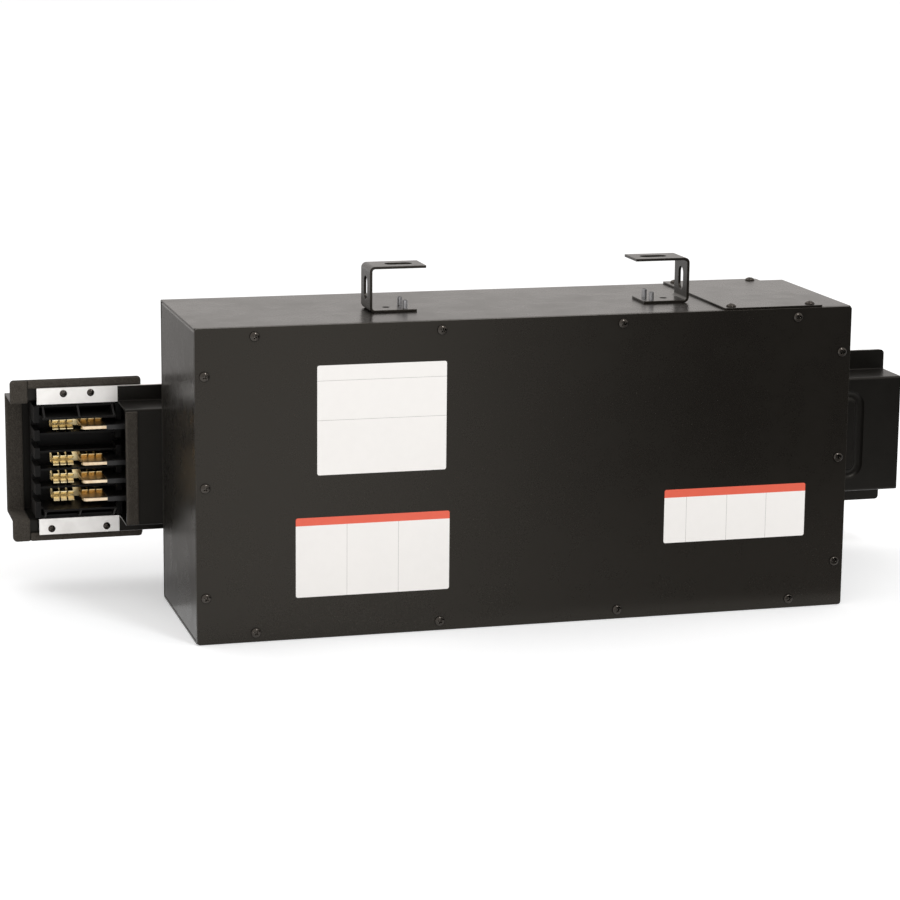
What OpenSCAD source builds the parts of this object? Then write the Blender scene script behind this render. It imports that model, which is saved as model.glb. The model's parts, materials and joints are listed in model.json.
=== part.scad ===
// Busway tap off box: a sheet-metal cable tap box fixed to the front of a
// length of low-voltage busway, with an open bolt-free joint at its left end
// and a covered joint at its right end.
//
// Frame: X along the busway, Y from the front of the box to the back, Z up.
// The origin is the centre of the box's underside.

/* [Box] */
// Width of the box along the busway
box_w = 660; // [560:10:900]
// Height of the box
box_h = 305; // [290:5:400]
// Depth of the box, front cover included
box_d = 186; // [160:2:260]
// Thickness of the box's steel sheet
sheet_t = 2; // [1.5:0.5:3]
// Width of the front return flanges that the cover lies on
flange_w = 18; // [16:1:24]
// Width of the small spot-welded flanges of the end plates
weld_flange_w = 12; // [8:1:16]

/* [Front cover] */
// Thickness of the front cover sheet
cover_t = 2; // [1.5:0.5:3]
// Distance of the cover screws from the cover's edges
cover_screw_inset = 9; // [8.5:0.5:10]
// Spacing of the screws along the top and bottom edges
cover_screw_pitch_x = 182; // [150:1:200]
// Spacing of the screws along the side edges
cover_screw_pitch_z = 107; // [90:1:112]
// Radius of the cover's corners
cover_corner_r = 3; // [1:0.5:6]

/* [Cable entry plate] */
// Width of the plate along the busway
entry_w = 103; // [80:1:120]
// Thickness of the plate
entry_t = 2; // [1.5:0.5:3]
// Distance from the plate to the box's right side
entry_side_gap = 30; // [20:1:60]
// Distance from the plate to the box's front
entry_front_gap = 2.5; // [1:0.5:6]
// Distance from the plate to the box's back
entry_back_gap = 1.5; // [1:0.5:6]
// Inset of the plate's screws from its edges
entry_screw_inset = 10; // [8:0.5:12]
// Margin of sheet left under the plate around the cable opening
entry_margin = 18; // [16:1:24]

/* [Fasteners] */
// Thread diameter of the M5 screws
screw_d = 5; // [4:0.5:6]
// Head diameter of the pan-head screws
screw_head_d = 10; // [8:0.5:11]
// Head height of the pan-head screws
screw_head_h = 3; // [2:0.25:4]
// Diametral clearance of the holes around the screws
hole_clearance = 0.6; // [0.4:0.1:1]
// Side of the square weld nuts
nut_side = 10; // [8:0.5:11]
// Height of the weld nuts
nut_h = 3.5; // [2.5:0.5:5]
// Height of the hexagon nuts on the M5 screws
hex_nut_h = 4; // [3:0.5:5]
// Height of the hexagon heads of the lug bolts
bolt_head_h = 3.5; // [3:0.5:5]
// Thread left standing behind a nut
thread_end = 2; // [0.5:0.5:3]
// Diameter of the flange rivets
rivet_d = 4.8; // [4:0.2:6]

/* [Hangers] */
// Height of the hangers above the box
hanger_h = 45; // [40:1:60]
// Width of the hanger strip
hanger_w = 36; // [30:1:50]
// Thickness of the hanger strip
hanger_t = 2.5; // [2:0.25:4]
// Length of the hangers' top flanges
hanger_top_l = 56; // [50:1:70]
// Length of the hangers' feet
hanger_foot_l = 47; // [44:1:60]
// Distance from the box's left side to the left hanger's upright
hanger_left_inset = 182; // [100:1:220]
// Distance from the box's right side to the right hanger's upright
hanger_right_inset = 151; // [145:1:200]
// Depth of the hangers' front edges in front of the box's middle
hanger_front = 36; // [10:1:60]
// Width of the slots for the threaded rods
rod_slot_w = 13; // [9:0.5:15]
// Length of the slots in the top flanges
rod_slot_l = 27.5; // [20:0.5:32]
// Distance from the upright to the middle of the top slot
rod_slot_x = 32.5; // [26:0.5:36]
// Length of the slots in the uprights
web_slot_l = 23; // [14:1:25]
// Diameter of the spare hole in each foot
foot_hole_d = 7.5; // [5:0.5:10]
// Distance from the upright to the spare hole
foot_hole_x = 20.5; // [16:0.5:24]
// Distance from the upright to the two foot screws
foot_screw_x = 37; // [33:0.5:40]
// Spacing of the two foot screws
foot_screw_pitch = 21; // [16:1:26]

/* [Busway housing] */
// Distance from the top of the box down to the middle of the busway
bus_drop = 170; // [150:1:200]
// Height of the housing's hat sections
hat_h = 119; // [112:1:128]
// Depth of each hat section
hat_d = 48; // [40:1:60]
// Height over the housing's flanges
hat_flange_h = 150; // [146:1:156]
// Thickness of the housing sheet
hat_t = 1.5; // [1:0.25:2]
// How far the housing reaches past the left side of the box
housing_reach_left = 37; // [32:1:60]
// How far the housing reaches past the right side of the box
housing_reach_right = 40; // [32:1:60]
// Thickness of the aluminium ground bars
ground_t = 3; // [2:0.5:5]
// How far the ground bars show above and below the flanges
ground_proud = 0.5; // [0:0.1:1]
// Number of rivets along each flange
rivet_count = 8; // [4:1:12]
// Width of the window between the box and the housing
window_w = 215; // [200:5:240]
// Height of the window
window_h = 98; // [92:1:104]
// Height of the housing screws above and below the busway's middle
housing_screw_z = 45; // [30:1:50]
// Distance of the outer housing screws from the sides of the box
housing_screw_outer = 30; // [25:1:60]
// Distance of the inner housing screws from the sides of the box
housing_screw_inner = 115; // [80:1:130]

/* [Bus bars] */
// Spacing of the bar positions
bar_pitch = 18.5; // [17:0.5:19]
// Thickness of the bars
bar_t = 3; // [2:0.25:4]
// Width of the bars
bar_w = 41; // [32:1:46]
// Length of bare bar at each end
bar_bare_l = 24; // [22.5:0.5:26]
// Thickness of the insulating sleeves
sleeve_t = 0.8; // [0.5:0.1:1]
// Thickness of the moulded bar supports
support_t = 12; // [8:1:20]

/* [Joint] */
// Distance from the end of the housing to the middle of the joint
joint_gap = 41; // [39.5:0.5:43]
// Half the length of the rear joint cover
rear_cover_half = 66.25; // [60:0.25:72]
// Half the length of the front joint cover
front_cover_half = 58; // [56:0.5:66]
// How far the joint covers' flanges reach past the housing's flanges
joint_cover_over = 8; // [6:0.5:12]
// Thickness of the joint covers
joint_cover_t = 1.5; // [1:0.25:2]
// Radius of the joint covers' flange corners
joint_cover_corner_r = 4; // [1:0.5:6]
// Clearance between a joint cover's walls and the housing
joint_cover_gap = 1; // [1:0.1:2]
// Thickness of the foam gaskets
foam_t = 5; // [4:0.5:7]
// Width of the foam strips on the housing ends
foam_strip_w = 12.5; // [10:0.5:15]
// Width of the foam across the rear cover's end
foam_end_w = 17.5; // [12:0.5:20]
// Distance of the joint screws from the edges of the housing's flanges
joint_screw_inset = 5.5; // [5:0.25:6.5]
// Spacing of the two upper joint screws
joint_screw_top_pitch = 27.5; // [20:0.5:56]
// Spacing of the two lower joint screws
joint_screw_bottom_pitch = 56; // [20:0.5:60]
// Thread diameter of the joint screws
joint_screw_d = 4; // [3:0.5:5]
// Head diameter of the joint screws
joint_screw_head_d = 7.4; // [6:0.2:8]
// Head height of the joint screws
joint_screw_head_h = 2.6; // [2:0.2:3.4]
// Height of the joint screws' nuts
joint_nut_h = 3.2; // [2.6:0.2:4]

/* [Joint cover bead] */
// Width over the ring-shaped bead
bead_w = 34; // [32:1:50]
// Height over the bead
bead_h = 96; // [70:1:100]
// Width of the pressed groove
bead_groove_w = 11; // [8:0.5:12]
// Depth of the groove
bead_depth = 3; // [2:0.25:4]

/* [Insulator] */
// Width of the moulded joint insulator
insulator_w = 88; // [86:1:94]
// Thickness of its dividers and plates
insulator_wall = 2; // [1.5:0.25:3]
// Thickness of its slotted side walls
insulator_side = 5.5; // [4:0.5:7]
// How far its two shelves stand in front of the ground bars
insulator_front = 16; // [12:1:24]
// How far its side walls stand in front of the ground bars
insulator_side_front = 1; // [0:0.5:8]
// Spacing of the fins that carry the shelves
insulator_fin_pitch = 35; // [30:1:36]
// Thickness of the fins
insulator_fin_t = 1.8; // [1.4:0.2:2.4]
// How far the dividers' front edges lie behind the ground bars' front
divider_setback = 6; // [0:1:10]
// Height of the slots in the side walls
side_slot_h = 8; // [6:0.5:10]

/* [Contact jaws] */
// Length of a jaw along the bars
jaw_l = 50; // [48:0.5:52]
// Thickness of the spring leaves
leaf_t = 0.8; // [0.5:0.1:1]
// Width of one finger
finger_w = 5.9; // [4:0.1:6.4]
// Spacing of the fingers in a group
finger_pitch = 7.4; // [7:0.1:7.8]
// Spacing of the two finger groups
finger_group_pitch = 28.7; // [28:0.1:30]
// Distance from the ground bars' front to the finger tips
finger_tip_back = 4.5; // [2:0.5:10]
// Half the gap between the tips of empty fingers at the pinch
empty_gap = 1.1; // [0.6:0.1:1.4]
// How far a finger's tip flares away from the bar
finger_flare = 3; // [2:0.2:3.4]
// Length of the flare along the finger
finger_flare_l = 3; // [2:0.5:5]

/* [Taps and lugs] */
// Thickness of the tap straps
strap_t = 3; // [2:0.5:4]
// Width of the tap straps
strap_w = 30; // [24:1:34]
// Spacing of the tap straps
strap_pitch = 55; // [50:1:60]
// Place of the middle of the strap row along the busway
strap_row_x = -27.5; // [-60:0.5:0]
// Height of the terminal board's lower edge above the busway's middle
board_rise = 53; // [52:1:60]
// Height of the terminal board
board_h = 90; // [84:1:100]
// Thickness of the terminal board
board_t = 6; // [4:1:10]
// Length of the stand-offs behind the board
standoff_l = 28; // [22:1:36]
// Width of the stand-offs over their corners
standoff_d = 13; // [11:0.5:16]
// Depth of the threaded holes in the stand-offs
standoff_bore_l = 15; // [13:0.5:18]
// How far the board's screws reach into the stand-offs
board_screw_grip = 12; // [8:0.5:12.5]
// Width of a cable lug
lug_w = 28; // [24:1:32]
// Depth of a cable lug
lug_d = 32; // [30:1:36]
// Height of a cable lug
lug_h = 40; // [32:1:44]
// Diameter of the cable bore
lug_bore_d = 16; // [12:1:18]
// Diameter of the clamping screw
lug_screw_d = 10; // [8:1:12]
// Height of the lug's mounting tongue
lug_tongue_h = 20; // [18:1:24]
// Thickness of the tongue
lug_tongue_t = 6; // [5:0.5:8]
// How much narrower than the lug its tongue is on each side
lug_tongue_step = 3; // [1:0.5:5]
// Wall between the cable bore and the strap
lug_wall = 4; // [3:0.5:5]
// Radius of the lug's upright edges
lug_edge_r = 3.5; // [1:0.5:3.5]
// Length of the earth bar
earth_l = 120; // [80:5:140]
// Height of the earth bar
earth_h = 14; // [12:1:18]
// Thickness of the earth bar
earth_t = 10; // [8:1:14]
// Number of cable screws in the earth bar
earth_screws = 6; // [3:1:6]

/* [Hidden] */
$fn = 48;

// Colours
box_black = [0.13, 0.12, 0.11];
housing_black = [0.10, 0.10, 0.09];
moulded_black = [0.06, 0.06, 0.06];
screw_dark = [0.20, 0.19, 0.18];
zinc = [0.72, 0.73, 0.74];
bare_aluminium = [0.86, 0.86, 0.84];
copper = [0.80, 0.60, 0.38];
spring_brass = [0.86, 0.72, 0.42];
foam_grey = [0.24, 0.23, 0.21];
board_red = [0.52, 0.16, 0.11];

// Running gap between pieces that seat on each other
seat_gap = 0.3;
// Centre-line radius of the bends
bend_r = 2;

// Box planes
front_y = -box_d / 2;
back_y = box_d / 2;
flange_front_y = front_y + cover_t;
flange_back_y = flange_front_y + sheet_t;
back_inner_y = back_y - sheet_t;
left_x = -box_w / 2;
right_x = box_w / 2;

// Busway planes, from front to back
bus_z = box_h - bus_drop;
flange_y = back_y + hat_d;
ground_back_y = flange_y + ground_t;
rear_flange_y = ground_back_y + hat_t;
housing_back_y = ground_back_y + hat_d;
bus_y = flange_y + ground_t / 2;
hat_half = hat_h / 2;
hat_inner = hat_half - hat_t;
housing_left = left_x - housing_reach_left;
housing_right = right_x + housing_reach_right;
rail_half = hat_flange_h / 2;
ground_in = hat_half - 0.5;
ground_out = rail_half + ground_proud;

// Joints
joint_left_x = housing_left - joint_gap;
joint_right_x = housing_right + joint_gap;
tongue_end_x = joint_left_x - joint_gap + 0.5;
cover_wall = hat_half + joint_cover_gap + joint_cover_t;
cover_half = rail_half + joint_cover_over;
joint_screw_z = rail_half - joint_screw_inset;
foam_low = joint_screw_z + 4.8;
rear_foam_y = rear_flange_y + foam_t;
rear_cover_back_y = housing_back_y + foam_t + joint_cover_t;
front_foam_y = flange_y - hat_t - foam_t;
front_cover_face_y = back_y - foam_t - joint_cover_t;
bar_end_gap = 2.5;
bar_left_x = joint_left_x + bar_end_gap;
bar_right_x = joint_right_x - bar_end_gap;

// Bars: positions 0, 2, 3 and 4 of five are filled
filled = [0, 2, 3, 4];
function bar_z(position) = bus_z + (2 - position) * bar_pitch;
function strap_x(i) = strap_row_x + (i - 1.5) * strap_pitch;

// Insulator
insulator_half = hat_inner - 0.5;
insulator_y = flange_y - insulator_front;
cell_half = 2.5 * bar_pitch;
insulator_back_y = bus_y + bar_w / 2 + 13;
insulator_wall_y = insulator_back_y - 2 * insulator_wall;
divider_y = flange_y + divider_setback;
cell_root = 5.2;
jaw_root_y = insulator_wall_y - 11;

// Taps and lugs
board_z = bus_z + board_rise;
board_back_y = back_inner_y - standoff_l;
board_front_y = board_back_y - board_t;
board_margin = 35;
board_w = 3 * strap_pitch + 2 * board_margin;
board_screw_side = 8;
board_screw_end = 12;
strap_face_y = board_front_y - strap_t;
lug_rise = 26;
lug_z = board_z + lug_rise;
lug_front_y = strap_face_y - lug_d;
lug_bore_y = strap_face_y - lug_wall - lug_bore_d / 2;
lug_bolt_z = lug_z - lug_tongue_h / 2;
tongue_y = strap_face_y - lug_tongue_t;
strap_over = 4;
strap_top_z = lug_z + lug_h + strap_over;
strap_lap_end = 8;
earth_z = 46;
earth_side_gap = 150;
earth_x = right_x - earth_side_gap;
earth_pitch = earth_l / earth_screws;

// Places of the fasteners
cover_screw_spots = concat(
    [for (i = [-1.5 : 1.5], z = [cover_screw_inset, box_h - cover_screw_inset])
        [i * cover_screw_pitch_x, z]],
    [for (x = [left_x + cover_screw_inset, right_x - cover_screw_inset], i = [-1 : 1])
        [x, box_h / 2 + i * cover_screw_pitch_z]]);
entry_d = box_d - entry_front_gap - entry_back_gap;
entry_x = right_x - entry_side_gap - entry_w / 2;
entry_y = front_y + entry_front_gap + entry_d / 2;
entry_screw_spots = [for (i = [-1, 1], j = [-1, 1])
    [entry_x + i * (entry_w / 2 - entry_screw_inset), entry_y + j * (entry_d / 2 - entry_screw_inset)]];
hanger_left_x = left_x + hanger_left_inset;
hanger_right_x = right_x - hanger_right_inset;
hanger_y = -hanger_front + hanger_w / 2;
hanger_screw_spots = [for (h = [[hanger_left_x, 1], [hanger_right_x, -1]], j = [-1, 1])
    [h[0] + h[1] * foot_screw_x, hanger_y + j * foot_screw_pitch / 2]];
rivet_edge = 40;
rivet_step = (box_w - 2 * rivet_edge) / (rivet_count - 1);
rivet_z = (hat_half + rail_half) / 2;
rivet_spots = [for (i = [0 : rivet_count - 1], s = [-1, 1])
    [left_x + rivet_edge + i * rivet_step, bus_z + s * rivet_z]];
housing_screw_spots = [for (x = [housing_screw_outer, housing_screw_inner], i = [-1, 1], s = [-1, 1])
    [i * (right_x - x), bus_z + s * housing_screw_z]];
// The inner bar supports stand midway between the window and the inner screws
support_end_gap = 22;
inner_screw_x = right_x - housing_screw_inner;
support_spots = [housing_left + support_end_gap, (strap_row_x - window_w / 2 - inner_screw_x) / 2,
    (strap_row_x + window_w / 2 + inner_screw_x) / 2, housing_right - support_end_gap];
function joint_screws(centre) = [
    for (s = [-1, 1]) [centre + s * joint_screw_top_pitch / 2, bus_z + joint_screw_z],
    for (s = [-1, 1]) [centre + s * joint_screw_bottom_pitch / 2, bus_z - joint_screw_z]];
cover_fixing_x = housing_right - 9;
cover_fixings = [for (s = [-1, 1]) [cover_fixing_x, bus_z + s * joint_screw_z]];
board_screw_spots = [for (s = [-1, 1], z = [board_screw_end, board_h - board_screw_end])
    [strap_row_x + s * (board_w / 2 - board_screw_side), board_z + z]];
earth_spots = [for (i = [0 : earth_screws - 1])
    [earth_x + (i - (earth_screws - 1) / 2) * earth_pitch, earth_z]];

// ---- Shared shapes -------------------------------------------------------

// A box between two opposite corners
module slab(low, high) {
    translate(low) cube(high - low);
}

// Draws its children, an outline in Y and Z, along X from x0 to x1
module along_x(x0, x1) {
    translate([x0, 0, 0]) rotate([90, 0, 90]) linear_extrude(x1 - x0) children();
}

// Draws its children, an outline in X and Z, along Y from y0 to y1
module along_y(y0, y1) {
    translate([0, y1, 0]) rotate([90, 0, 0]) linear_extrude(y1 - y0) children();
}

// A round bar or hole along Y at a place in X and Z
module pin_y(spot, d, y0, y1) {
    translate([spot[0], y1, spot[1]]) rotate([90, 0, 0]) cylinder(d = d, h = y1 - y0);
}

// A rectangle with rounded corners, centred
module rounded_rect(w, h, r) {
    square([w - 2 * r, h], center = true);
    square([w, h - 2 * r], center = true);
    for (i = [-1, 1], j = [-1, 1]) translate([i * (w / 2 - r), j * (h / 2 - r)]) circle(r);
}

// A slot with round ends, centred, l long over its ends
module slot2d(l, w) {
    square([l - w, w], center = true);
    for (i = [-1, 1]) translate([i * (l - w) / 2, 0]) circle(d = w);
}

function direction(a, b) = (b - a) / norm(b - a);

// A strip of bent sheet, l wide along Z: t thick, along a centre line of
// right-angled turns in X and Y, with every turn bent to the radius r. Its
// straight runs cross at square corners, which are filled inside and then
// rounded off outside.
module bent_sheet(path, t, r, l) {
    last = len(path) - 1;
    difference() {
        union() {
            for (i = [0 : last - 1]) {
                u = direction(path[i], path[i + 1]);
                start = path[i] - (i == 0 ? 0 : t / 2) * u;
                end = path[i + 1] + (i == last - 1 ? 0 : t / 2) * u;
                side = [-u[1], u[0]] * t / 2;
                linear_extrude(l) polygon([start + side, end + side, end - side, start - side]);
            }
            for (i = [1 : last - 1]) bend_corner(path, i, r, l, r, r - t / 2);
        }
        translate([0, 0, -1]) for (i = [1 : last - 1]) bend_corner(path, i, r, l + 2, r + t, r + t / 2);
    }
}

// What a square corner of the path holds outside a circle round the centre of
// its bend: the square reaches this far from that centre
module bend_corner(path, i, r, l, reach, radius) {
    u = direction(path[i - 1], path[i]);
    v = direction(path[i], path[i + 1]);
    translate(path[i] - r * u + r * v) linear_extrude(l) difference() {
        polygon([[0, 0], reach * u, reach * (u - v), -reach * v]);
        circle(radius);
    }
}

// Bent sheet along X from x0 to x1, its path in Y and Z
module sheet_along_x(x0, x1, path, t, r) {
    translate([x0, 0, 0]) rotate([90, 0, 90]) bent_sheet(path, t, r, x1 - x0);
}

// Bent sheet along Y from y0 to y1, its path in X and Z
module sheet_along_y(y0, y1, path, t, r) {
    translate([0, y1, 0]) rotate([90, 0, 0]) bent_sheet(path, t, r, y1 - y0);
}

// A pan-head screw with a cross recess; the head's seat is at z = 0
module pan_screw(d, head_d, head_h, l) {
    difference() {
        rotate_extrude() intersection() {
            translate([0, 0]) square([head_d / 2, head_h]);
            translate([0, head_h - head_d]) circle(head_d);
        }
        for (a = [0, 90]) rotate([0, 0, a])
            translate([-head_d / 4, -head_d / 20, head_h / 3]) cube([head_d / 2, head_d / 10, head_h]);
    }
    translate([0, 0, -l]) cylinder(d = d, h = l);
}

// Pan-head screws at places in X and Z, with their heads towards the front
module front_screws(spots, y, d, head_d, head_h, l) {
    for (p = spots) translate([p[0], y, p[1]]) rotate([90, 0, 0]) pan_screw(d, head_d, head_h, l);
}

// A hexagon along Y for a thread d, its corners turned off at both faces
module hexagon_y(spot, d, y0, y1) {
    h = y1 - y0;
    corner = d;
    turned = 0.88 * corner;
    chamfer = (corner - turned) * 0.6;
    translate([spot[0], y1, spot[1]]) rotate([90, 0, 0]) intersection() {
        cylinder(r = corner, h = h, $fn = 6);
        rotate_extrude() polygon([
            [0, 0], [turned, 0], [corner, chamfer], [corner, h - chamfer], [turned, h], [0, h]]);
    }
}

// A hexagon nut along Y
module nut_y(spot, d, y0, y1) {
    difference() {
        hexagon_y(spot, d, y0, y1);
        pin_y(spot, d + 0.1, y0 - 1, y1 + 1);
    }
}

// ---- Box -----------------------------------------------------------------

module enclosure_wrap() {
    top_z = box_h - sheet_t / 2;
    low_z = sheet_t / 2;
    flange_mid_y = flange_front_y + sheet_t / 2;
    back_mid_y = back_y - sheet_t / 2;
    color(box_black) difference() {
        sheet_along_x(left_x, right_x, [
            [flange_mid_y, box_h - flange_w], [flange_mid_y, top_z], [back_mid_y, top_z],
            [back_mid_y, low_z], [flange_mid_y, low_z], [flange_mid_y, flange_w]], sheet_t, bend_r);
        for (p = cover_screw_spots)
            pin_y(p, screw_d + hole_clearance, flange_front_y - 1, flange_back_y + 1);
        for (p = entry_screw_spots) translate([p[0], p[1], box_h - sheet_t - 1])
            cylinder(d = screw_d + hole_clearance, h = sheet_t + 2);
        for (p = hanger_screw_spots) translate([p[0], p[1], box_h - sheet_t - 1])
            cylinder(d = screw_d + hole_clearance, h = sheet_t + 2);
        translate([entry_x, entry_y, box_h - sheet_t - 1]) linear_extrude(sheet_t + 2)
            rounded_rect(entry_w - 2 * entry_margin, entry_d - 2 * entry_margin, 6);
        along_y(back_inner_y - 1, back_y + 1) translate([strap_row_x, bus_z])
            rounded_rect(window_w, window_h, 8);
        for (p = housing_screw_spots) pin_y(p, screw_d + hole_clearance, back_inner_y - 1, back_y + 1);
    }
}

// An end plate, drawn for the left end: a panel inside the wrap, with a front
// flange for the cover and welding flanges at the back, top and bottom
module end_plate() {
    panel_x = left_x + sheet_t / 2;
    inner_x = left_x + sheet_t;
    flange_low = flange_w + 0.5;
    flange_high = box_h - flange_w - 0.5;
    low = sheet_t;
    high = box_h - sheet_t;
    relief_y = flange_back_y + seat_gap;
    weld_x = left_x + weld_flange_w;
    color(box_black) difference() {
        union() {
            translate([0, 0, flange_low]) bent_sheet([
                [left_x + flange_w, flange_front_y + sheet_t / 2],
                [panel_x, flange_front_y + sheet_t / 2],
                [panel_x, back_inner_y - sheet_t / 2],
                [weld_x, back_inner_y - sheet_t / 2]], sheet_t, bend_r, flange_high - flange_low);
            for (z = [[low, flange_low], [flange_high, high]])
                slab([left_x, relief_y, z[0]], [inner_x, back_inner_y - bend_r - sheet_t, z[1]]);
            for (z = [low, high - sheet_t])
                slab([left_x, relief_y + 2, z], [weld_x, back_inner_y - bend_r - sheet_t, z + sheet_t]);
        }
        for (p = cover_screw_spots)
            pin_y(p, screw_d + hole_clearance, flange_front_y - 1, flange_back_y + 1);
        // round bends along the top and the underside
        for (s = [0, 1]) translate([0, 0, s * box_h]) mirror([0, 0, s])
            along_y(front_y, back_y) difference() {
                translate([left_x - 1, low - 1]) square(sheet_t + 1);
                translate([inner_x, low + sheet_t]) circle(r = sheet_t);
            }
    }
}

module end_plate_left() {
    end_plate();
}

module end_plate_right() {
    mirror([1, 0, 0]) end_plate();
}

module front_cover() {
    color(box_black) difference() {
        along_y(front_y, front_y + cover_t) translate([0, box_h / 2])
            rounded_rect(box_w, box_h, cover_corner_r);
        for (p = cover_screw_spots)
            pin_y(p, screw_d + hole_clearance, front_y - 1, front_y + cover_t + 1);
    }
}

module cover_screws() {
    color(screw_dark) front_screws(cover_screw_spots, front_y, screw_d, screw_head_d, screw_head_h,
        cover_t + sheet_t + nut_h + 2);
}

module weld_nuts() {
    color(zinc) {
        for (p = cover_screw_spots) difference() {
            slab([p[0] - nut_side / 2, flange_back_y, p[1] - nut_side / 2],
                 [p[0] + nut_side / 2, flange_back_y + nut_h, p[1] + nut_side / 2]);
            pin_y(p, screw_d + hole_clearance, flange_back_y - 1, flange_back_y + nut_h + 1);
        }
        for (p = entry_screw_spots) translate([p[0], p[1], box_h - sheet_t - nut_h]) difference() {
            translate([-nut_side / 2, -nut_side / 2, 0]) cube([nut_side, nut_side, nut_h]);
            translate([0, 0, -1]) cylinder(d = screw_d + hole_clearance, h = nut_h + 2);
        }
    }
}

module cable_entry_plate() {
    color(box_black) difference() {
        translate([entry_x, entry_y, box_h]) linear_extrude(entry_t)
            rounded_rect(entry_w, entry_d, 2);
        for (p = entry_screw_spots) translate([p[0], p[1], box_h - 1])
            cylinder(d = screw_d + hole_clearance, h = entry_t + 2);
    }
}

module entry_screws() {
    color(screw_dark) for (p = entry_screw_spots) translate([p[0], p[1], box_h + entry_t])
        pan_screw(screw_d, screw_head_d, screw_head_h, entry_t + sheet_t + nut_h + 2);
}

// ---- Hangers -------------------------------------------------------------

// A hanger with its upright at x = 0, opening towards +X
module hanger() {
    low = box_h + hanger_t / 2;
    high = box_h + hanger_h - hanger_t / 2;
    web_slot_z = box_h + hanger_h / 2;
    color(box_black) difference() {
        sheet_along_y(-hanger_front, -hanger_front + hanger_w, [
            [hanger_foot_l, low], [hanger_t / 2, low], [hanger_t / 2, high], [hanger_top_l, high]],
            hanger_t, 2 * bend_r);
        translate([rod_slot_x, hanger_y, high - hanger_t]) linear_extrude(2 * hanger_t)
            slot2d(rod_slot_l, rod_slot_w);
        translate([-1, hanger_y, web_slot_z]) rotate([90, 0, 90]) linear_extrude(hanger_t + 2)
            rotate(90) slot2d(web_slot_l, rod_slot_w);
        translate([foot_hole_x, hanger_y, box_h - 1]) cylinder(d = foot_hole_d, h = hanger_t + 2);
        for (j = [-1, 1]) translate([foot_screw_x, hanger_y + j * foot_screw_pitch / 2, box_h - 1])
            cylinder(d = screw_d + 0.1, h = hanger_t + 2);
    }
}

module hanger_left() {
    translate([hanger_left_x, 0, 0]) hanger();
}

module hanger_right() {
    translate([hanger_right_x, 0, 0]) mirror([1, 0, 0]) hanger();
}

// Screws from inside the box, threaded through the hangers' feet
module hanger_screws() {
    stand_out = 8;
    color(zinc) for (p = hanger_screw_spots) translate([p[0], p[1], box_h - sheet_t])
        rotate([180, 0, 0]) pan_screw(screw_d, screw_head_d, screw_head_h, sheet_t + hanger_t + stand_out);
}

// ---- Busway housing ------------------------------------------------------

// A hat section from x0 to x1: its flanges seat at y = flange_face and the
// outside of its crown is at y = crown_face
module hat_section(x0, x1, flange_face, crown_face, half, flange_half, t) {
    s = sign(crown_face - flange_face);
    flange_mid = flange_face + s * t / 2;
    crown_mid = crown_face - s * t / 2;
    wall = half - t / 2;
    sheet_along_x(x0, x1, [
        [flange_mid, bus_z - flange_half], [flange_mid, bus_z - wall], [crown_mid, bus_z - wall],
        [crown_mid, bus_z + wall], [flange_mid, bus_z + wall], [flange_mid, bus_z + flange_half]],
        t, bend_r);
}

module housing_front() {
    color(housing_black) difference() {
        hat_section(housing_left, housing_right, flange_y, back_y, hat_half, rail_half, hat_t);
        along_y(back_y - 1, back_y + hat_t + 1) translate([strap_row_x, bus_z])
            rounded_rect(window_w, window_h, 8);
        for (p = housing_screw_spots) pin_y(p, screw_d + hole_clearance, back_y - 1, back_y + hat_t + 1);
        for (p = rivet_spots) pin_y(p, rivet_d + 0.2, flange_y - hat_t - 1, flange_y + 1);
        for (p = cover_fixings)
            pin_y(p, joint_screw_d + hole_clearance, flange_y - hat_t - 1, flange_y + 1);
    }
}

module housing_rear() {
    color(housing_black) difference() {
        hat_section(housing_left, housing_right, ground_back_y, housing_back_y, hat_half, rail_half,
            hat_t);
        for (p = rivet_spots) pin_y(p, rivet_d + 0.2, ground_back_y - 1, rear_flange_y + 1);
        for (p = cover_fixings)
            pin_y(p, joint_screw_d + hole_clearance, ground_back_y - 1, rear_flange_y + 1);
    }
}

// A ground bar above (side = 1) or below (side = -1) the busway
module ground_bar(side) {
    z = [bus_z + side * ground_in, bus_z + side * ground_out];
    color(bare_aluminium) difference() {
        slab([tongue_end_x, flange_y, min(z)], [housing_right, ground_back_y, max(z)]);
        for (p = rivet_spots) pin_y(p, rivet_d + 0.2, flange_y - 1, ground_back_y + 1);
        for (p = concat(cover_fixings, joint_screws(joint_left_x)))
            pin_y(p, joint_screw_d + hole_clearance, flange_y - 1, ground_back_y + 1);
    }
}

module ground_bar_top() {
    ground_bar(1);
}

module ground_bar_bottom() {
    ground_bar(-1);
}

module flange_rivets() {
    head_d = 2 * rivet_d - 0.4;
    head_h = 1.2;
    color(screw_dark) for (p = rivet_spots) {
        pin_y(p, rivet_d, flange_y - hat_t, rear_flange_y);
        translate([p[0], flange_y - hat_t, p[1]]) rotate([90, 0, 0])
            cylinder(d1 = head_d, d2 = rivet_d, h = head_h);
        pin_y(p, rivet_d + 2, rear_flange_y, rear_flange_y + 2);
    }
}

module housing_screws() {
    color(zinc) front_screws(housing_screw_spots, back_inner_y, screw_d, screw_head_d, screw_head_h,
        sheet_t + hat_t + hex_nut_h + thread_end / 4);
}

module hex_nuts() {
    color(zinc) {
        for (p = housing_screw_spots) nut_y(p, screw_d, back_y + hat_t, back_y + hat_t + hex_nut_h);
        for (p = joint_screws(joint_left_x)) nut_y(p, joint_screw_d,
            rear_foam_y + joint_cover_t, rear_foam_y + joint_cover_t + joint_nut_h);
    }
}

// ---- Bus bars ------------------------------------------------------------

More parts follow.
